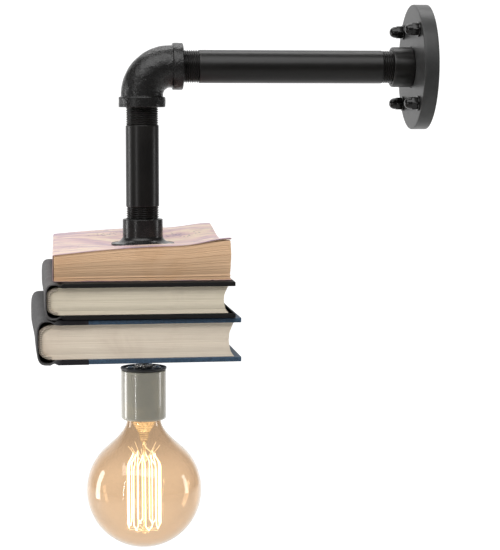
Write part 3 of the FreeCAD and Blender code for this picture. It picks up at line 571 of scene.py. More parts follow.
def glowing(finish, tone, strength):
    """A carbon wire at full heat, paler where its coils crowd; on wires that are no lamp, a painted glow."""
    finish.set(Roughness=0.6, Emission_Strength=strength)
    coils = (finish.axis(2) * 9000.0).sine() * 0.5 + 0.5
    heat = finish.noise(120.0, 2.0).between(0.3, 0.7) * 0.6 + coils * 0.4
    finish.set(Base_Color=finish.mix(heat, (0.05, 0.045, 0.04), (0.09, 0.08, 0.07)))
    finish.set(Emission_Color=finish.mix(heat, shade(tone, 0.8), (tone[0], tone[1] * 1.12, tone[2] * 1.5)))


def leaves(finish, tone, edge, lines):
    """The cut edges of paper: fine lines along each leaf in bundles, foxed in spots, browner at the back."""
    fair, browner = STEM_X - 46 * MM, STEM_X - 74 * MM
    finish.set(Sheen_Weight=0.05)
    bundles = finish.noise(1.0, 3.0, stretch=(9.0, 1100.0, 1.0), surface=True, rough=0.7)
    single = finish.noise(1.0, 4.0, stretch=(22.0, 3600.0, 1.0), surface=True, rough=0.8)
    stain = finish.noise(26.0, 4.0, rough=0.6, twist=0.5).between(0.45, 0.75)
    groove = single.between(0.34, 0.5)
    dark, light = shade(tone, 1 - 0.09 * lines), shade(tone, 1 + 0.07 * lines)
    paper = finish.mix(bundles.between(0.3, 0.72), dark, light)
    paper = finish.mix((1 - groove) * 0.36 * lines, paper, shade(edge, 0.75))
    browned = finish.axis(0).between(fair, browner) * 0.35
    finish.set(Base_Color=finish.mix(stain * 0.35 + browned * lines, paper, edge))
    finish.set(Normal=finish.relief(bundles + single * 0.7, 0.12 * MM * lines))
    finish.set(Roughness=0.8 + bundles * 0.12)


def printed_card(finish):
    """A laminated soft cover with a washed print: pink and lilac clouds that run along the book, and a few
    specks of darker colour."""
    finish.set(IOR=1.46, Coat_Weight=0.25, Coat_Roughness=0.3)
    wash = finish.noise(9.0, 5.0, stretch=(0.7, 2.2, 1.0), twist=1.6, rough=0.62)
    veil = finish.noise(26.0, 5.0, stretch=(0.6, 2.4, 1.0), twist=2.2, rough=0.6)
    wide = finish.tones(wash, (0.34, (0.24, 0.15, 0.25)), (0.43, (0.44, 0.27, 0.30)),
                        (0.50, (0.60, 0.39, 0.35)), (0.57, (0.70, 0.55, 0.39)), (0.66, (0.45, 0.25, 0.28)))
    streaked = finish.mix(veil.between(0.53, 0.63) * 0.62, wide, (0.24, 0.155, 0.28))
    specks = (1 - finish.cells(300.0).between(0.26, 0.38)) * finish.noise(30.0, 2.0).between(0.54, 0.58)
    finish.set(Base_Color=finish.mix(specks * 0.75, streaked, (0.10, 0.06, 0.10)))
    finish.set(Roughness=0.42 + veil * 0.12)
    finish.set(Normal=finish.relief(finish.noise(150.0, 4.0), 0.05 * MM))


def covered_board(finish, tone, pale):
    """Binder's board covered in paper: laid fibres, a slight sheen, and rubbed pale spots."""
    finish.set(IOR=1.45)
    fibres = finish.noise(700.0, 3.0, stretch=(1.0, 0.25, 1.0))
    rubbed = finish.noise(75.0, 5.0, rough=0.75).between(0.55, 0.74)
    base = finish.mix(fibres.between(0.3, 0.7), shade(tone, 0.8), shade(tone, 1.25))
    finish.set(Base_Color=finish.mix(rubbed * 0.4, base, pale))
    finish.set(Roughness=0.52 + fibres * 0.16)
    finish.set(Normal=finish.relief(fibres, 0.04 * MM))


def book_cloth(finish, tone, pale, blended):
    """Woven cloth: warp and weft as the product of two rows of sine waves, rubbed pale in spots, and paler
    over the spine, by the object's X."""
    pale_start, pale_full = STEM_X - 68 * MM, STEM_X - 76 * MM
    finish.set(Sheen_Weight=0.02, Sheen_Roughness=0.5, Specular_IOR_Level=0.16)
    pitch = 0.45 * MM
    along, across, upright = ((finish.axis(k) * (2 * math.pi / pitch)).sine() for k in range(3))
    weave = (along * across + across * upright + upright * along) * 0.25 + 0.5
    wear = finish.noise(55.0, 5.0, rough=0.7).between(0.46, 0.72)
    base = finish.mix(weave, shade(tone, 0.65), shade(tone, 1.35))
    worn = finish.mix(wear * 0.35, base, pale)
    # The cloth is made paler towards the spine, by the object's X.
    paler_spine = finish.axis(0).between(pale_start, pale_full) * (wear * 0.3 + 0.7)
    finish.set(Base_Color=finish.mix(paler_spine, worn, blended))
    finish.set(Roughness=0.66 + weave * 0.14)
    slubs = finish.relief(finish.noise(240.0, 3.0), 0.09 * MM)
    finish.set(Normal=finish.relief(weave, 0.05 * MM, slubs))


def striped_band(finish):
    """The woven band at a spine's end: cream and brown threads wound round a cord."""
    finish.set(Roughness=0.75, Sheen_Weight=0.3)
    stripe = (finish.axis(2) * (2 * math.pi / (1.6 * MM))).sine().between(-0.2, 0.2)
    finish.set(Base_Color=finish.mix(stripe, (0.50, 0.43, 0.34), (0.30, 0.25, 0.20)))
    finish.set(Normal=finish.relief(finish.noise(1500.0, 2.0), 0.05 * MM))


def moulded(finish, tone):
    """Moulded plastic: a fine matt grain and faint flow marks."""
    finish.set(IOR=1.5)
    flow, grain = finish.noise(60.0, 3.0, twist=1.0), finish.noise(1800.0, 2.0)
    finish.set(Base_Color=finish.mix(flow.between(0.3, 0.7), shade(tone, 0.9), shade(tone, 1.08)))
    finish.set(Roughness=0.45 + grain * 0.1, Normal=finish.relief(grain, 0.02 * MM))


def finish_of(slot):
    """The material of one of the record's slots, made the first time that a piece asks for it."""
    name = f"{slot}_finish"
    if name in bpy.data.materials:
        return bpy.data.materials[name]
    look = bpy.context.scene.lamp_finishes
    makers = {
        "black_pipe": (enamel, look.pipe, 0.34, 900.0, 0.035 * MM),
        "black_casting": (cast_iron, look.casting),
        "black_sheet": (enamel, look.canopy, 0.40, 1300.0, 0.02 * MM, 1.15),
        "black_nuts": (enamel, shade(look.casting, 0.9), 0.2, 700.0, 0.03 * MM),
        "zinc": (bare_metal, (0.55, 0.55, 0.54), 0.3),
        "nickel": (bare_metal, (0.78, 0.76, 0.72), 0.14),
        "brass": (bare_metal, (0.78, 0.58, 0.26), 0.24),
        "porcelain": (glazed, look.glaze),
        "black_ceramic": (glazed, (0.02, 0.02, 0.022)),
        "bulb_glass": (glass, look.amber, look.rim),
        # The glass foot's glow is painted.
        "clear_glass": (painted_glow_glass, look.glow),
        "filament": (glowing, look.glow, bpy.context.scene.lamp_bulb.glow),
        # The support hooks and lead-in wires are no lamp: their glow is painted, standing in for the
        # filament's light on them.
        "painted_glow_wire": (glowing, look.glow, 2.6),
        "aged_paper": (leaves, look.aged, (0.56, 0.31, 0.145), 0.6),
        "cream_paper": (leaves, look.cream, (0.56, 0.43, 0.33), 0.35),
        "grey_paper": (leaves, look.grey, (0.47, 0.41, 0.32), 0.35),
        "printed_card": (printed_card,),
        "grey_board": (covered_board, (0.33, 0.31, 0.28), (0.42, 0.40, 0.36)),
        "blue_board": (covered_board, look.blue, shade(look.blue, 2.6)),
        "black_cloth": (book_cloth, look.cloth, shade(look.cloth, 2.2), (0.135, 0.130, 0.130)),
        "charcoal_cloth": (book_cloth, look.charcoal, shade(look.charcoal, 2.4), (0.098, 0.096, 0.096)),
        "headband": (striped_band,),
        "white_plastic": (moulded, (0.72, 0.72, 0.68)),
        "brown_insulation": (moulded, (0.16, 0.07, 0.03)),
        "blue_insulation": (moulded, (0.04, 0.13, 0.42)),
        "green_insulation": (moulded, (0.2, 0.42, 0.06)),
    }
    maker, *values = makers[slot]
    finish = Finish(name)
    maker(finish, *values)
    return finish.material


# ---------------------------------------------------------------- shapes shared by several pieces
def refined(outline, spacing):
    """The same line with more points: its corners stay, and none of its runs is longer than the spacing."""
    along = np.concatenate([[0], np.cumsum(np.linalg.norm(np.diff(outline, axis=0), axis=1))])
    places = np.unique(np.concatenate([along, np.arange(0, along[-1], spacing)]))
    return np.stack([np.interp(places, along, outline[:, k]) for k in (0, 1)], axis=-1)


def threaded_pipe(radius, bore, reach, near, far, pitch, depth, gap, origin, axis, turns=96):
    """A pipe whose outside drops to a screw thread at both ends, faded in by a smooth step, round a plain
    bore."""
    fade, step = 1.2 * MM, pitch / 12
    first = np.arange(0, near + 2 * fade, step) if near else np.zeros(1)
    last = np.arange(reach - far - 2 * fade, reach, step) if far else np.array([reach - 2 * fade])
    heights = np.concatenate([first, np.linspace(first[-1], last[0], 14)[1:-1], last, [reach]])
    cut = gap + thread(angles_round(turns)[None, :], heights[:, None], pitch, depth)
    inside = smooth((heights - reach + far) / fade + 1) + 1 - smooth((heights - near) / fade)
    outer = radius - cut * np.clip(inside, 0, 1)[:, None]
    outer[[0, -1]] -= 0.3 * MM
    radii = np.concatenate([outer, np.full((2, turns), bore)])
    return lathe(radii, np.concatenate([heights, [reach, 0.0]]), origin, axis)


def stretches(*ends):
    """Rising values from 0, in stretches: each runs to its end in evenly spaced values, as many as its
    count."""
    values, start = [np.zeros(1)], 0
    for end, count in ends:
        values.append(np.linspace(start, end, count)[1:])
        start = end
    return np.concatenate(values)


def on_stem(x, y, z, turn=0.0):
    """Points beside the stem, turned about it by an angle."""
    cosine, sine = math.cos(turn), math.sin(turn)
    return np.stack([STEM_X + x * cosine - y * sine, x * sine + y * cosine, z], axis=-1)


def on_axis(z):
    """A point in the middle of the stem."""
    return np.array([STEM_X, 0.0, z])


def height_and_radius(node):
    """Height and outside radius of a node that is turned about the stem."""
    low, high = box(node)
    return high[2] - low[2], high[1]


def turned_on_stem(name, node, outline, spacing=None, **options):
    """A piece turned about the stem, whose heights count from the foot of the node that it stands for."""
    line = refined(outline, spacing) if spacing else outline
    return piece(name, [turned(line, on_axis(box(node)[0][2]), UPWARDS)], node, **options)


def pipe_mouth(radius, height, rounding):
    """Corners of a fitting's mouth, bored out to the pipe's thread and chamfered inside."""
    bore, chamfer = radius - 3.0 * MM, 1.4 * MM
    return (radius, height, rounding), (radius - 1.9 * MM, height, 0.4 * MM), (bore, height - chamfer)


# ---------------------------------------------------------------- wall end and arm
class LAMP_OT_canopy(bpy.types.Operator):
    """Add the wall canopy, and the washers and dome nuts on its face"""

    bl_idname = "lamp.canopy"
    bl_label = "Canopy"

    def execute(self, context):
        sizes = context.scene.lamp_pipe
        low, high = box("wall_canopy")
        radius, depth, sheet = high[1], -low[0], sizes.canopy_sheet
        hub, lip, opening = box("wall_socket")[1][1], 0.9 * MM, 13.5 * MM
        outline = rounded((radius, 0, 0.4 * MM), (radius, depth, 1.1 * MM), (hub + lip, depth, 0.4 * MM),
                          (hub + 0.2 * MM, depth - lip), (opening, depth - lip), (opening, depth - sheet),
                          (radius - sheet, depth - sheet, 1.2 * MM), (radius - sheet, 0, 0.3 * MM))
        piece("canopy_shell", [turned(refined(outline, 4 * MM), np.zeros(3), LEFTWARDS)], "wall_canopy")
        low, high = box("stud_washers")
        thick, radius, hole = high[0] - low[0], 6.0 * MM, 3.2 * MM
        reach, dome = high[1] - radius, (4.7 * MM, sizes.nut_dome)
        studs = [(y, z) for y in (-reach, reach) for z in (-reach, reach)]
        ring = rounded((hole, 0), (radius, 0, 0.3 * MM), (radius, thick, 0.4 * MM), (hole, thick, 0.2 * MM))
        piece("canopy_washers", [turned(ring, (high[0], *stud), LEFTWARDS) for stud in studs], "stud_washers")
        nut = (sizes.nut_flats, sizes.nut_hexagon, 0)
        nuts = [hex_nut(*nut, (low[0], *stud), LEFTWARDS, dome) for stud in studs]
        piece("canopy_dome_nuts", nuts, "dome_nuts")
        return {"FINISHED"}


class LAMP_OT_arm(bpy.types.Operator):
    """Add the wall socket, both pipes with their cut threads, and the collar that presses on the books"""

    bl_idname = "lamp.arm"
    bl_label = "Pipes and fittings"

    def execute(self, context):
        sizes = context.scene.lamp_pipe
        self.add_pipes(sizes)
        low, high = box("wall_socket")
        corners = pipe_mouth(high[1], high[0] - low[0], 1.3 * MM)
        outline = rounded((corners[-1][0], 0), (high[1], 0, 0.5 * MM), *corners)
        piece("wall_hub", [turned(refined(outline, 3 * MM), high * (1, 0, 0), LEFTWARDS)], "wall_socket")
        self.add_collar(sizes)
        return {"FINISHED"}

    @staticmethod
    def add_pipes(sizes):
        low, high = box("horizontal_pipe")
        radius = high[1]
        cut = (sizes.thread_pitch, sizes.thread_depth, sizes.thread_gap)
        arm = threaded_pipe(radius, radius - sizes.wall, high[0] - low[0], sizes.arm_thread_wall,
                            sizes.arm_thread_elbow, *cut, high * (1, 0, 0), LEFTWARDS)
        piece("arm_pipe", [arm], "horizontal_pipe")
        low, high = box("vertical_pipe")
        drop = threaded_pipe(radius, radius - sizes.wall, high[2] - low[2], sizes.drop_thread_top,
                             sizes.drop_thread_bottom, *cut, on_axis(high[2]), -UPWARDS)
        piece("drop_pipe", [drop], "vertical_pipe")

    @staticmethod
    def add_collar(sizes):
        """The foot sweeps out on a quarter ellipse: the radius grows as one less a cosine, the height as a
        sine."""
        height, foot = height_and_radius("book_collar")
        rim, hole = 1.3 * MM, 5.1 * MM
        waist, tube_radius = height - sizes.collar_waist, box("wall_socket")[1][1]
        sweep = np.linspace(0, math.pi / 2, 16)[::-1]
        flare = np.stack([tube_radius + (foot - 0.3 * MM - tube_radius) * (1 - np.cos(sweep)),
                          waist - (waist - rim) * np.sin(sweep)], axis=-1)
        corners = pipe_mouth(tube_radius, height, 0.7 * MM)
        head = rounded((tube_radius, waist), *corners, (corners[-1][0], waist), (hole, waist), (hole, 0),
                       (foot, 0, 0.5 * MM), (foot, rim, 0.4 * MM))
        outline = np.concatenate([flare[:-1], head])
        turned_on_stem("collar_casting", "book_collar", outline, 2.5 * MM, crease=50.0)


class LAMP_OT_elbow(bpy.types.Operator):
    """Add the cast elbow: a round section carried round a quarter bend, with a bead at each mouth"""

    bl_idname = "lamp.elbow"
    bl_label = "Elbow"

    def execute(self, context):
        sizes = context.scene.lamp_pipe
        high = box("elbow")[1]
        bead, body, width = high[1], sizes.elbow_body, sizes.bead_width
        straight = high[0] - STEM_X - sizes.bend
        whole = 2 * straight + sizes.bend * math.pi / 2
        mouth, bore, seat = 13.35 * MM, box("horizontal_pipe")[1][1] - sizes.wall, 13 * MM
        outline = rounded((mouth, 0), (bead, 0, 1.0 * MM), (bead, width, 1.1 * MM), (body, width, 0.7 * MM),
                          (body, whole - width, 0.7 * MM), (bead, whole - width, 1.1 * MM),
                          (bead, whole, 1.0 * MM), (mouth, whole), (mouth, whole - seat),
                          (bore, whole - seat), (bore, seat), (mouth, seat))
        outline = refined(np.concatenate([outline, outline[:1]]), 0.8 * MM)[:-1]
        piece("elbow_casting", [self.carried(outline, straight, sizes.bend)], "elbow", crease=50.0)
        return {"FINISHED"}

    @staticmethod
    def carried(outline, straight, bend):
        """The section's centre runs straight, round the bend and straight down; each point stands off it by
        its radius, which waves a little as sand leaves it."""
        radius, along = outline[:, :1], outline[:, 1]
        phi = np.clip((along - straight) / bend, 0, math.pi / 2)
        outward = np.stack([-np.sin(phi), 0 * phi, np.cos(phi)], axis=-1)
        before = np.maximum(straight - along, 0)[:, None] * -LEFTWARDS
        after = np.maximum(along - straight - bend * math.pi / 2, 0)[:, None] * -UPWARDS
        centre = np.array([STEM_X + bend, 0, -bend]) + bend * outward + before + after
        theta = angles_round(112)[None, :]
        s = along[:, None] / MM
        waves = ((5, 0.45, 0), (9, -0.8, 1), (14, 1.3, 2))
        sand = sum(np.sin(count * theta + rise * s + shift) for count, rise, shift in waves)
        radius = radius + 0.045 * MM * sand
        across = np.cos(theta)[..., None] * outward[:, None] + np.sin(theta)[..., None] * SIDEWAYS
        return grid(centre[:, None] + radius[..., None] * across, wrap_rows=True, wrap_columns=True)


class LAMP_OT_stem(bpy.types.Operator):
    """Add the threaded stem below the books, with the washer and the nut that hold the stack"""

    bl_idname = "lamp.stem"
    bl_label = "Stem, washer and nut"

    def execute(self, context):
        sizes = context.scene.lamp_holder
        low, high = box("stem")
        radius, bore = high[1], 3.5 * MM
        hole = radius + 0.1 * MM
        threaded = box("stack_washer")[1][2] - low[2] + 2 * MM
        cut = (sizes.stem_thread, 0.55 * MM, 0.02 * MM)
        rod = threaded_pipe(radius, bore, high[2] - low[2], threaded, 0.0, *cut, on_axis(low[2]), UPWARDS,
                            turns=48)
        piece("threaded_stem", [rod], "stem")
        thick, wide = height_and_radius("stack_washer")
        outline = rounded((hole, 0), (wide, 0, 0.5 * MM), (wide, thick, 0.4 * MM), (hole, thick, 0.2 * MM))
        turned_on_stem("washer_under_books", "stack_washer", outline)
        for name, node in (("nut_under_books", "stack_nut"), ("nut_on_holder", "holder_cap_nut")):
            foot, head = box(node)[0][2], box(node)[1][2]
            piece(name, [hex_nut(sizes.nut_flats, head - foot, hole, on_axis(foot), UPWARDS)], node)
        return {"FINISHED"}


# ---------------------------------------------------------------- books
class LAMP_OT_soft_book(bpy.types.Operator):
    """Add the top book: swollen leaves, a loose first leaf, and a soft cover whose corners curl up"""

    bl_idname = "lamp.soft_book"
    bl_label = "Soft book"

    def execute(self, context):
        self.sizes = context.scene.lamp_books
        self.pressed = box("book_collar")[0][2]
        self.base = box("top_book_cover")[0][2]
        half, spine, fore = self.sizes.top_half, self.sizes.top_spine, self.sizes.top_fore
        extent = (fore - spine, 2 * half, self.pressed - self.base)
        piece("top_leaves", block(self.leaf_place, 64, 84, 80, extent=extent), "top_book_pages")
        piece("top_first_leaf", block(self.first_leaf_place, 64, 84, 2, extent=extent), "top_book_flyleaf")
        bends = stretches((1, 72), (2, 8), (3, 10), (4, 8), (5, 24)) / 5
        piece("top_cover", block(self.cover_place, bends, 84, 2, extent=extent), "top_book_cover")
        return {"FINISHED"}

    def paper_top(self, x, y):
        """The leaves swell away from the spine as a sine, the spine's far end stands higher, and all of it
        is pressed flat under the collar."""
        sizes, crown, spread = self.sizes, 0.72, 58 * MM
        along = (x - sizes.top_spine) / (sizes.top_fore - sizes.top_spine)
        swell = sizes.top_rise * np.sin(np.minimum(1, along / crown) * math.pi / 2)
        swell += sizes.far_rise * (y / sizes.top_half + 1) / 2 * (1 - along)
        free = smooth((np.hypot(x, y) - box("book_collar")[1][1]) / spread)
        return self.pressed - 2 * sizes.card - 0.2 * MM + swell * free

    def curl(self, x, y):
        """Lift of the two free corners: a power of the smooth step along X times one along Y."""
        sizes, hinge_x, hinge_y = self.sizes, 14 * MM, 15 * MM
        out = smooth((x - hinge_x) / (sizes.top_fore - hinge_x)) ** 1.5
        near, far = (smooth((side * y - hinge_y) / (sizes.top_half - hinge_y)) ** 1.5 for side in (-1, 1))
        return out * (sizes.near_curl * near + sizes.far_curl * far)

    def leaf_place(self, a, b, c):
        """The block of leaves: its cut sides step in and out by an uneven line over the layers."""
        sizes = self.sizes
        x = sizes.top_spine + 0.9 * MM + (sizes.top_fore - sizes.top_spine - 1.5 * MM) * a
        y = (sizes.top_half - 0.3 * MM) * (2 * b - 1)
        low = self.base + sizes.card + 0.1 * MM
        z = low + (self.paper_top(x, y) + 0.8 * self.curl(x, y) - low) * c
        step = 0.10 * MM * wobble(3, 90, c * 90) + 0.35 * MM * wobble(5, 7, c * 6)
        x = x + np.where(a == 1, step, 0)
        y = y + np.where(b == 0, -step, 0) + np.where(b == 1, step * 0.8, 0)
        return on_stem(x, y, z, sizes.top_turn)

    def first_leaf_place(self, a, b, c):
        sizes = self.sizes
        x = sizes.top_spine + 0.9 * MM + (sizes.top_fore - sizes.top_spine - 1.1 * MM) * a
        y = (sizes.top_half - 0.2 * MM) * (2 * b - 1)
        z = self.paper_top(x, y) + 0.05 * MM + sizes.leaf * c + 0.95 * self.curl(x, y)
        return on_stem(x, y, z, sizes.top_turn)

    def cover_place(self, a, b, c):
        """The cover's middle line in five stretches: front, corner, spine, corner and back. Its thickness
        stands off that line along the normal."""
        sizes, bend, s = self.sizes, 1.3 * MM, a * 5
        y = sizes.top_half * (2 * b - 1)
        part, u = np.minimum(s.astype(int), 4), s - np.minimum(s.astype(int), 4)
        spine, fore = sizes.top_spine + sizes.card / 2, sizes.top_fore
        root = spine + bend
        x_front = fore + (root - fore) * u
        lift = sizes.leaf + 0.15 * MM + sizes.card / 2
        front = self.paper_top(x_front, y) + lift + self.curl(x_front, y)
        top = self.paper_top(np.full_like(y, root), y) + lift
        low = self.base + sizes.card / 2
        phi = u * math.pi / 2
        x = np.choose(part, [x_front, root - bend * np.sin(phi), spine + 0 * u, root - bend * np.cos(phi),
                             root + (fore - root) * u])
        z = np.choose(part, [front, top - bend + bend * np.cos(phi), top - bend + (low - top + 2 * bend) * u,
                             low + bend - bend * np.sin(phi), low + 0 * u])
        out_x = np.choose(part, [0 * u, -np.sin(phi), -1 + 0 * u, -np.cos(phi), 0 * u])
        out_z = np.choose(part, [1 + 0 * u, np.cos(phi), 0 * u, -np.sin(phi), -1 + 0 * u])
        stand = (c - 0.5) * sizes.card
        return on_stem(x + stand * out_x, y, z + stand * out_z, sizes.top_turn)


def bound_book_sizes(turn, board, spine, bulge, fore, page_fore, hollow, half, page_half):
    """The properties of a bound book. X is measured from the stem, negative to the spine."""
    return {"turn": angle(turn, "Turn", "How far the book is turned on the stem"),
            "board": length(board, "Board", "Thickness of a cover board"),
            "spine": length(spine, "Spine", "Place of the spine's shoulders"),
            "bulge": length(bulge, "Bulge", "How far the spine is rounded out"),
            "fore": length(fore, "Fore-edge", "Place of the boards' free edges"),
            "page_fore": length(page_fore, "Leaves' fore-edge", "Place of the leaves' free edges"),
            "hollow": length(hollow, "Hollow", "How far the leaves' fore-edge is hollowed"),
            "half": length(half, "Half height", "Half the height of the boards"),
            "page_half": length(page_half, "Leaves' half height", "Half the height of the leaves")}


class MiddleBookSettings(bpy.types.PropertyGroup):
    """Sizes of the middle book."""

    __annotations__ = bound_book_sizes(turn=0.0, board=3.3, spine=-75.5, bulge=5.5, fore=62.6, page_fore=57.5,
                                       hollow=3.5, half=114.0, page_half=110.0)


class BottomBookSettings(bpy.types.PropertyGroup):
    """Sizes of the bottom book."""

    __annotations__ = bound_book_sizes(turn=0.8, board=3.8, spine=-82.0, bulge=7.0, fore=66.5, page_fore=60.5,
                                       hollow=4.0, half=112.0, page_half=108.0)


class BoundBook:
    """The shapes of a case-bound book between two heights."""

    def __init__(self, sizes, low, high):
        self.sizes, self.low, self.high = sizes, low, high
        self.middle, self.half = (low + high) / 2, (high - low) / 2

    def leaf_place(self, a, b, c):
        """Leaves between a back that is rounded at its corners, as a sixth power over the layers, and a
        hollow fore-edge, a parabola; the cut sides step in and out by an uneven line."""
        sizes = self.sizes
        back = sizes.spine + 2.6 * MM - (sizes.bulge + 1.0 * MM) * (1 - (2 * c - 1) ** 6)
        front = sizes.page_fore - sizes.hollow * (1 - (2 * c - 1) ** 2)
        step = 0.06 * MM * wobble(11, 90, c * 90) + 0.12 * MM * wobble(13, 8, c * 7)
        x = back + (front - back) * a + np.where(a == 1, step, 0)
        y = sizes.page_half * (2 * b - 1) + np.where(b == 0, -step, 0) + np.where(b == 1, step, 0)
        z = self.low + sizes.board + 0.05 * MM + (2 * self.half - 2 * sizes.board - 0.1 * MM) * c
        return on_stem(x, y, z, sizes.turn)

    def board_place(self, upper, start, inset):
        """A board, its free edge a little rounded in plan."""
        sizes = self.sizes
        outside = self.high - inset if upper else self.low + inset
        inside = self.high - sizes.board if upper else self.low + sizes.board

        def place(a, b, c):
            y = (sizes.half - inset) * (2 * b - 1)
            fore = sizes.fore - inset - 0.5 * MM * smooth((np.abs(y) - sizes.half + 4 * MM) / (4 * MM))
            return on_stem(start + (fore - start) * a, y, inside + (outside - inside) * c, sizes.turn)

        return place

    def case_place(self, start):
        """The cloth case in seven stretches, mirrored about the middle: along the board, down into the
        joint's groove by the square of a sine, and round the spine on a squared-off ellipse."""
        sizes = self.sizes
        joint, shoulder = sizes.spine + 9.5 * MM, sizes.spine + 2.6 * MM
        groove, wall = 1.3 * MM, 1.2 * MM
        depth = shoulder - sizes.spine + sizes.bulge

        def place(a, b, c):
            s = np.minimum(a * 7, 7 - a * 7)
            side = np.where(a <= 0.5, 1.0, -1.0)
            part = np.clip(s.astype(int), 0, 2)
            u = np.where(part == 2, (s - 2) / 1.5, s - part)
            around, out = np.cos(u * math.pi / 2), np.sin(u * math.pi / 2)
            dip = groove * np.sin(math.pi * u) ** 2
            flat = start + (joint - start) * u
            crease = joint + (shoulder - joint) * u
            bow, rise = np.abs(out) ** 0.55, np.abs(around) ** 0.55
            outer_x = np.choose(part, [flat, crease, shoulder - depth * bow])
            outer_z = np.choose(part, [self.half + 0 * u, self.half - dip, self.half * rise])
            inner_x = np.choose(part, [flat, crease, shoulder - (depth - wall) * bow])
            under = self.half - sizes.board
            inner_z = np.choose(part, [under + 0 * u, under + (sizes.board - wall) * smooth(u) - dip * 0.5,
                                       (self.half - wall) * rise])
            x, z = inner_x + (outer_x - inner_x) * c, inner_z + (outer_z - inner_z) * c
            y = sizes.half * (2 * b - 1) * np.ones_like(x)
            sag = 0.25 * MM * np.sin(y * 31.0 + 1.0) * np.where(part == 2, out, 0)
            return on_stem(x + sag, y, self.middle + side * z, sizes.turn)

        return place

    def headband_path(self, side):
        """A short cord that follows the leaves' round back at one end of the spine."""
        sizes = self.sizes
        reach = self.half - sizes.board - 1.2 * MM
        z = np.linspace(-reach, reach, 24)
        x = sizes.spine + 4.0 * MM - (sizes.bulge + 1.0 * MM) * (1 - (z / reach) ** 6)
        return on_stem(x, np.full_like(z, side * (sizes.page_half + 0.9 * MM)), self.middle + z, sizes.turn)


class LAMP_OT_bound_books(bpy.types.Operator):
    """Add both bound books: leaves, boards, cloth with its grooves and rounded spine, and headbands"""

    bl_idname = "lamp.bound_books"
    bl_label = "Bound books"

    def execute(self, context):
        scene = context.scene
        self.add("middle_book", "cloth", scene.lamp_middle_book, scene.lamp_middle_book.fore, scene)
        bottom = scene.lamp_bottom_book
        self.add("bottom_book", "spine_cloth", bottom, bottom.spine + scene.lamp_books.spine_reach, scene)
        return {"FINISHED"}

    @staticmethod
    def add(book, cloth, sizes, cloth_start, scene):
        node = f"{book}_{cloth}"
        low, high = box(node)
        shapes = BoundBook(sizes, low[2], high[2])
        extent = (sizes.page_fore - sizes.spine, 2 * sizes.page_half, high[2] - low[2] - 2 * sizes.board)
        piece(f"{book}_leaves", block(shapes.leaf_place, 48, 64, 100, extent=extent), f"{book}_pages")
        covered = cloth_start >= sizes.fore
        inset, start = (0.8 * MM if covered else 0.3 * MM), sizes.spine + 10.5 * MM
        for level in ("bottom", "top"):
            sheets = block(shapes.board_place(level == "top", start, inset), 12, 64, 2)
            piece(f"{book}_{level}_cover_board", sheets, f"{book}_{level}_board", bevel=0.6 * MM)
        along = stretches((1, 10), (2, 14), (3.5, 26))
        along = np.concatenate([along, 7 - along[-2::-1]]) / 7
        case = block(shapes.case_place(cloth_start), along, 64, 2)
        piece(f"{book}_case_cloth", case, node, crease=50.0, bevel=0.7 * MM, skin=scene.lamp_books.cloth)
        bands = [tube(shapes.headband_path(side), 1.0 * MM) for side in (-1, 1)]
        piece(f"{book}_woven_bands", bands, f"{book}_headbands")


# ---------------------------------------------------------------- lamp holder and globe lamp
class LAMP_OT_holder(bpy.types.Operator):
    """Add the porcelain holder, the pressed tray on it and the tray's screws"""

    bl_idname = "lamp.holder"
    bl_label = "Lamp holder"

    def execute(self, context):
        sizes = context.scene.lamp_holder
        rim, radius = height_and_radius("holder_cap")
        sheet, hole = sizes.tray_rim, 5.1 * MM
        outline = rounded((hole, 0), (radius, 0, 0.8 * MM), (radius, rim, 0.3 * MM),
                          (radius - sheet, rim, 0.3 * MM), (radius - sheet - 0.7 * MM, sheet, 0.5 * MM),
                          (hole, sheet))
        turned_on_stem("holder_tray", "holder_cap", outline, 2 * MM)
        self.add_screws(box("holder_cap")[0][2] + sheet)
        height, radius = height_and_radius("holder_body")
        bore, floor, hole = sizes.porcelain_bore, height - 5.4 * MM, 5.3 * MM
        outline = rounded((hole, height), (radius, height, 1.1 * MM), (radius, 0, sizes.glaze_edge),
                          (bore, 0, 1.0 * MM), (bore, floor, 0.8 * MM), (hole, floor), steps=9)
        turned_on_stem("porcelain_body", "holder_body", outline, 2 * MM)
        return {"FINISHED"}

    @staticmethod
    def add_screws(foot):
        """Two domed heads, with shanks down into the porcelain."""
        low, high = box("holder_cap_screws")
        wide, thin, sunk = 3.0 * MM, 1.5 * MM, low[2] - foot
        head = rounded((0, 0), (wide, 0, 0.2 * MM), (wide, 1.1 * MM, 0.7 * MM), (0, 1.9 * MM))
        shank = rounded((0, 0), (thin, 0), (thin, sunk), (0, sunk))
        reach = high[0] - STEM_X - wide
        screws = [turned(refined(part, 0.8 * MM), (STEM_X + side * reach, 0, foot), UPWARDS)
                  for side in (-1, 1) for part in (head, shank)]
        piece("tray_screws", screws, "holder_cap_screws")


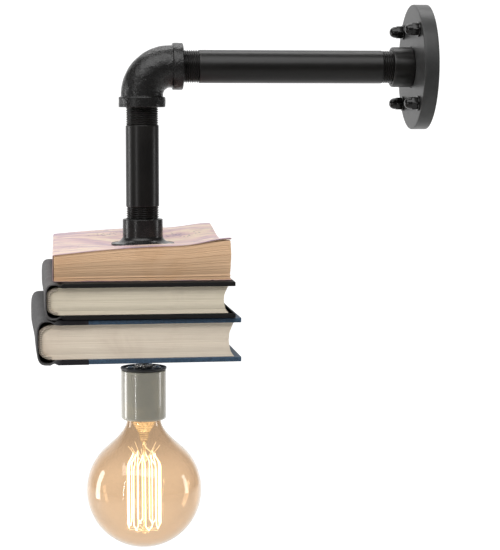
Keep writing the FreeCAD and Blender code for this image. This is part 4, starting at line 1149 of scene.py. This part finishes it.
class LAMP_OT_bulb(bpy.types.Operator):
    """Add the globe lamp: glass, cap, the glass foot and rod inside, the filament's cage and its wires"""

    bl_idname = "lamp.bulb"
    bl_label = "Globe lamp"

    def execute(self, context):
        self.sizes = context.scene.lamp_bulb
        low, high = box("bulb_glass")
        self.radius = high[1]
        self.centre = low[2] + self.radius
        self.cap_foot = box("bulb_screw_cap")[0][2]
        self.add_glass(high[2])
        self.add_cap()
        self.add_mount()
        self.add_cage()
        return {"FINISHED"}

    def glass_line(self, shrink, top):
        """Down the glass: a short neck, a cubic curve over the shoulder, and the globe from 50 degrees to
        its foot."""
        radius, opening = self.radius - shrink, math.radians(50)
        neck = np.array([[12.3, 2.5], [12.7, -0.2], [13.4, -1.8], [13.8, -3.4], [14.0, -5.0]]) * MM
        neck = neck + (-shrink, self.cap_foot)
        neck[0, 1] = top
        end = np.array([radius * math.sin(opening), self.centre + radius * math.cos(opening)])
        pull = end - np.array([math.cos(opening), -math.sin(opening)]) * 9 * MM
        t = np.linspace(0, 1, 26)[1:, None]
        start, drop = neck[-1], neck[-1] - (0, 11 * MM)
        shoulder = ((1 - t) ** 3 * start + 3 * t * (1 - t) ** 2 * drop
                    + 3 * t ** 2 * (1 - t) * pull + t ** 3 * end)
        phi = np.linspace(opening, math.pi, 72)[1:]
        globe = np.stack([radius * np.sin(phi), self.centre + radius * np.cos(phi)], axis=-1)
        globe[-1, 0] = 0
        return np.concatenate([neck, shoulder, globe])

    def add_glass(self, top):
        outline = np.concatenate([self.glass_line(0, top), self.glass_line(self.sizes.wall, top)[::-1]])
        piece("globe_glass", [turned(outline, on_axis(0), UPWARDS)], "bulb_glass", crease=80.0)

    def add_cap(self):
        """The brass cap: a rolled thread, its radius a cosine of height over pitch less the turn."""
        sizes = self.sizes
        height, wide = height_and_radius("bulb_screw_cap")
        crest, sheet, end_radius = wide - 0.1 * MM, 0.3 * MM, 9.8 * MM
        fade, rows = 1.5 * MM, np.linspace(0, height - 1.8 * MM, 90)
        wave = 0.5 - 0.5 * np.cos(2 * math.pi * rows[:, None] / sizes.cap_pitch - angles_round(96))
        rolled = smooth((rows - 4.0 * MM) / fade) * smooth((height - 2.2 * MM - rows) / fade)
        ramp = smooth(rows / (3 * MM))[:, None]
        outer = crest - sizes.cap_depth * (1 - (1 - wave) * rolled[:, None]) * ramp
        end = np.full((1, 96), end_radius)
        radii = np.concatenate([outer, end, end - sheet, outer[::-1] - sheet])
        heights = np.concatenate([rows, [height, height - sheet], rows[::-1]])
        piece("brass_cap", [lathe(radii, heights, on_axis(self.cap_foot), UPWARDS)], "bulb_screw_cap")
        height, wide = height_and_radius("bulb_cap_insulator")
        outline = rounded((0, 0), (wide - 0.3 * MM, 0, 0.3 * MM), (wide, 1.1 * MM, 0.5 * MM),
                          (5.6 * MM, height, 0.8 * MM), (0, height))
        turned_on_stem("cap_insulator", "bulb_cap_insulator", outline)
        height, wide = height_and_radius("bulb_tip_contact")
        outline = rounded((0, 0), (wide, 0, 0.3 * MM), (3.2 * MM, height * 0.8, 0.6 * MM), (0, height))
        turned_on_stem("tip_contact", "bulb_tip_contact", outline)

    def add_mount(self):
        """The glass foot, flared at its top and pinched flat at its lower end, and the rod with its
        button."""
        self.pinch = box("bulb_stem_glass")[0][2]
        top, flare = height_and_radius("bulb_stem_glass")
        line = np.array([[0, 0], [2.2, 0.4], [3.2, 2.0], [3.6, 4.4], [4.0, 7.0], [5.4, 10.0], [7.4, 13.0],
                         [9.0, 16.4], [9.9, 20.0]]) * MM
        lip = np.array([[flare, top - 1.1 * MM], [flare - 0.5 * MM, top], [8.8 * MM, 19.6 * MM],
                        [7.8 * MM, 16.2 * MM], [6.0 * MM, 12.8 * MM], [3.8 * MM, 10.2 * MM], [0, 9.0 * MM]])
        turned_on_stem("glass_foot", "bulb_stem_glass", np.concatenate([line, lip]), crease=80.0)
        reach = height_and_radius("bulb_mount_rod")[0]
        button, thin = 2.4 * MM, 1.3 * MM
        phi = np.linspace(0, math.pi * 0.82, 16)
        ball = np.stack([button * np.sin(phi), button - button * np.cos(phi)], axis=-1)
        rod = np.array([[thin, reach], [0, reach]])
        outline = np.concatenate([ball, refined(np.concatenate([ball[-1:], rod]), 3 * MM)[1:]])
        turned_on_stem("glass_rod", "bulb_mount_rod", outline, crease=60.0)
        self.button = box("bulb_mount_rod")[0][2] + button

    def strand(self, index, share):
        """A run of the filament at shares from its foot to its head: upright on the cage, drawn in to a
        hook above and turned towards its neighbour at both ends."""
        sizes = self.sizes
        step = 2 * math.pi / sizes.strands
        head, foot = self.pinch - 9.5 * MM, self.button + 3.0 * MM
        draw_in, toe_in, lean = 4.6 * MM, 0.8 * MM, 1 if index % 2 else -1
        drawn = smooth((share - 0.80) / 0.2)
        radius = sizes.cage - draw_in * drawn ** 1.4 - toe_in * smooth((0.06 - share) / 0.06)
        hooked = smooth((share - 0.88) / 0.12) - smooth((0.07 - share) / 0.07)
        theta = index * step + step / 2 * lean * hooked + 0.05 * math.sin(index * 2.1)
        z = foot + (head - foot) * share + 0.8 * MM * math.sin(index * 1.7) * share
        return on_stem(radius * np.cos(theta), radius * np.sin(theta), z)

    def add_cage(self):
        """One wire up and down all the strands, hooks that hold its bends, and two wires that feed it."""
        sizes = self.sizes
        share = stretches((0.1, 9), (0.78, 12), (1, 14))
        runs = [self.strand(k, share if k % 2 else share[::-1]) for k in range(sizes.strands)]
        piece("glowing_filament", [tube(np.concatenate(runs), sizes.wire, 8)], "bulb_filament", crease=80.0)
        hooks = []
        # For the hooks below and above: their end of the strand, their hub's height, their reach and rise
        ends = ((0.0, self.button, 1.0, -1.5 * MM), (1.0, self.pinch - 17 * MM, 1.45, 3.5 * MM))
        for k in range(sizes.strands):
            end, height, reach, rise = ends[k % 2]
            hub = on_axis(height)
            path = hub + (self.strand(k, np.array([end]))[0] - hub) * np.linspace(0.12, reach, 8)[:, None]
            path[:, 2] += rise * np.linspace(0, 1, 8) ** 2
            hooks.append(tube(path, 0.2 * MM, 6))
        # The hooks' glow is painted: they are no lamp.
        piece("support_hooks", hooks, "bulb_support_wires", crease=80.0, look="painted_glow_wire")
        leads, t = [], np.linspace(0, 1, 16)[:, None]
        for index, side in ((0, 1), (sizes.strands - 1, -1)):
            foot = on_axis(self.pinch + 0.9 * MM) + SIDEWAYS * 2.8 * MM * side
            knee, end = foot - UPWARDS * 7 * MM, self.strand(index, np.array([1.0]))[0]
            leads.append(tube((1 - t) ** 2 * foot + 2 * t * (1 - t) * knee + t ** 2 * end, 0.3 * MM, 8))
        # The lead-in wires' glow is painted: they are no lamp.
        piece("lead_in_wires", leads, "bulb_lead_wires", crease=80.0, look="painted_glow_wire")


class LAMP_OT_inner_pieces(bpy.types.Operator):
    """Give every part of the design that still shows, such as the bracket and the wiring, its own finish"""

    bl_idname = "lamp.inner_pieces"
    bl_label = "Bracket, wiring and contacts"

    def execute(self, context):
        for node, part in frame["nodes"].items():
            if not part.hide_render:
                part.data.materials.clear()
                part.data.materials.append(finish_of(SLOT_OF[node]))
        return {"FINISHED"}


# ---------------------------------------------------------------- stage
class LAMP_OT_stage(bpy.types.Operator):
    """Add the pale floor that sweeps up behind the lamp, the soft lights round it, and the camera"""

    bl_idname = "lamp.stage"
    bl_label = "Stage, lights and camera"
    LIT_HEIGHT = -0.18
    # Name, degrees round to the left, degrees above, distance, width, height, radiance
    LIGHTS = (("Tall window left", 100, -3, 1.3, 0.3, 0.85, 6.8),
              ("Narrow strip left", 38, 2, 1.6, 0.03, 1.0, 30.0),
              ("Soft box above", 12, 55, 1.4, 1.9, 1.1, 3.4),
              ("Soft box behind", 0, 112, 1.4, 1.4, 0.5, 4.0),
              ("Strip right", -96, 0, 1.5, 0.24, 0.7, 5.0))

    def execute(self, context):
        sizes = context.scene.lamp_stage
        self.forward = np.array([math.sin(sizes.turn), math.cos(sizes.turn), 0.0])
        self.right = np.array([math.cos(sizes.turn), -math.sin(sizes.turn), 0.0])
        self.add_sweep(float(CAD_LOW[2]) - sizes.floor_drop)
        self.add_camera(context.scene, sizes)
        world = bpy.data.worlds.new("Room")
        world.use_nodes = True
        world.node_tree.nodes["Background"].inputs["Color"].default_value = (*sizes.room, 1.0)
        context.scene.world = world
        context.scene.view_settings.view_transform = "Standard"
        for light in self.LIGHTS:
            self.add_light(*light)
        return {"FINISHED"}

    def add_sweep(self, floor):
        """A floor that turns up into a wall on a quarter circle, its far part shining evenly."""
        bend, near, far, top = 0.8, -4.0, 2.4, 3.5
        phi = np.linspace(0, math.pi / 2, 24)
        path = np.concatenate([[[near, floor]], np.stack([far + bend * np.sin(phi),
                                                          floor + bend * (1 - np.cos(phi))], axis=-1),
                               [[far + bend, top]]])
        x = np.array([-4.5, 4.5])
        points = np.stack([np.broadcast_to(x[None, :], (len(path), 2)), np.repeat(path[:, :1], 2, axis=1),
                           np.repeat(path[:, 1:], 2, axis=1)], axis=-1)
        sheet = grid(points)
        mesh = bpy.data.meshes.new("Sweep")
        mesh.from_pydata(sheet["points"], [], sheet["faces"][:, ::-1].tolist())
        mesh.shade_smooth()
        finish = Finish("Sweep")
        finish.set(Roughness=0.7, Emission_Strength=1.0)
        sides = finish.axis(0).between(-4.4, -1.8) * finish.axis(0).between(3.0, 1.4)
        shine = finish.axis(1).between(-0.4, 1.3) * sides
        grain = finish.noise(30.0, 3.0).between(0.3, 0.7)
        pale = finish.mix(grain, (0.78, 0.78, 0.77), (0.82, 0.82, 0.81))
        finish.set(Base_Color=finish.mix(shine, pale, (0.25, 0.25, 0.25)))
        finish.set(Emission_Color=finish.mix(shine, (0.0, 0.0, 0.0), (1.0, 1.0, 1.0)))
        mesh.materials.append(finish.material)
        placed("Sweep", mesh)

    def add_camera(self, scene, sizes):
        """A long lens in front of the stem, a little below the arm, turned to the wall and looking down."""
        camera = placed("Camera", bpy.data.cameras.new("Camera"))
        camera.data.lens, camera.data.sensor_width = sizes.lens, 36.0
        camera.data.clip_start, camera.data.clip_end = 0.05, 50.0
        camera.location = on_axis(-sizes.drop) - self.forward * sizes.distance + self.right * sizes.side
        camera.rotation_euler = (math.pi / 2 - sizes.dip, 0.0, -sizes.turn)
        scene.camera = camera

    def add_light(self, name, around, above, distance, width, height, radiance):
        """An even rectangle that faces the stem. Its power is radiance times its area times pi."""
        around, above = math.radians(around), math.radians(above)
        light = bpy.data.lights.new(name, "AREA")
        light.shape, light.size, light.size_y = "RECTANGLE", width, height
        light.energy = radiance * width * height * math.pi
        flat = -self.forward * math.cos(around) - self.right * math.sin(around)
        towards = Vector(flat * math.cos(above) + UPWARDS * math.sin(above))
        made = placed(name, light)
        made.location = Vector(on_axis(self.LIT_HEIGHT)) + towards * distance
        made.rotation_euler = towards.to_track_quat("Z", "Y").to_euler()
        made.visible_camera = False


class LAMP_PT_pieces(bpy.types.Panel):
    """The lamp's groups of pieces, each with its own button"""

    bl_label = "Pipe lamp"
    bl_idname = "LAMP_PT_pieces"
    bl_space_type = "VIEW_3D"
    bl_region_type = "UI"
    bl_category = "Pipe lamp"

    def draw(self, context):
        for operator in OPERATORS:
            self.layout.operator(operator.bl_idname, text=operator.bl_label)


# ---------------------------------------------------------------- add-on
SETTINGS = {"lamp_pipe": LampPipeSettings, "lamp_books": LampBookSettings,
            "lamp_middle_book": MiddleBookSettings, "lamp_bottom_book": BottomBookSettings,
            "lamp_holder": LampHolderSettings, "lamp_bulb": LampBulbSettings,
            "lamp_finishes": LampFinishSettings, "lamp_stage": LampStageSettings}
OPERATORS = (LAMP_OT_stage, LAMP_OT_canopy, LAMP_OT_arm, LAMP_OT_elbow, LAMP_OT_stem, LAMP_OT_soft_book,
             LAMP_OT_bound_books, LAMP_OT_holder, LAMP_OT_bulb, LAMP_OT_inner_pieces)


def register():
    for group in SETTINGS.values():
        bpy.utils.register_class(group)
    for name, group in SETTINGS.items():
        setattr(bpy.types.Scene, name, PointerProperty(type=group))
    for shown in (*OPERATORS, LAMP_PT_pieces):
        bpy.utils.register_class(shown)


def unregister():
    for shown in (LAMP_PT_pieces, *reversed(OPERATORS)):
        bpy.utils.unregister_class(shown)
    for name, group in reversed(SETTINGS.items()):
        delattr(bpy.types.Scene, name)
        bpy.utils.unregister_class(group)


def main():
    """Build every group in order."""
    register()
    for operator in OPERATORS:
        group, name = operator.bl_idname.split(".")
        if getattr(getattr(bpy.ops, group), name)() != {"FINISHED"}:
            raise RuntimeError(f"{operator.bl_idname} did not finish")


if __name__ == "__main__":
    main()
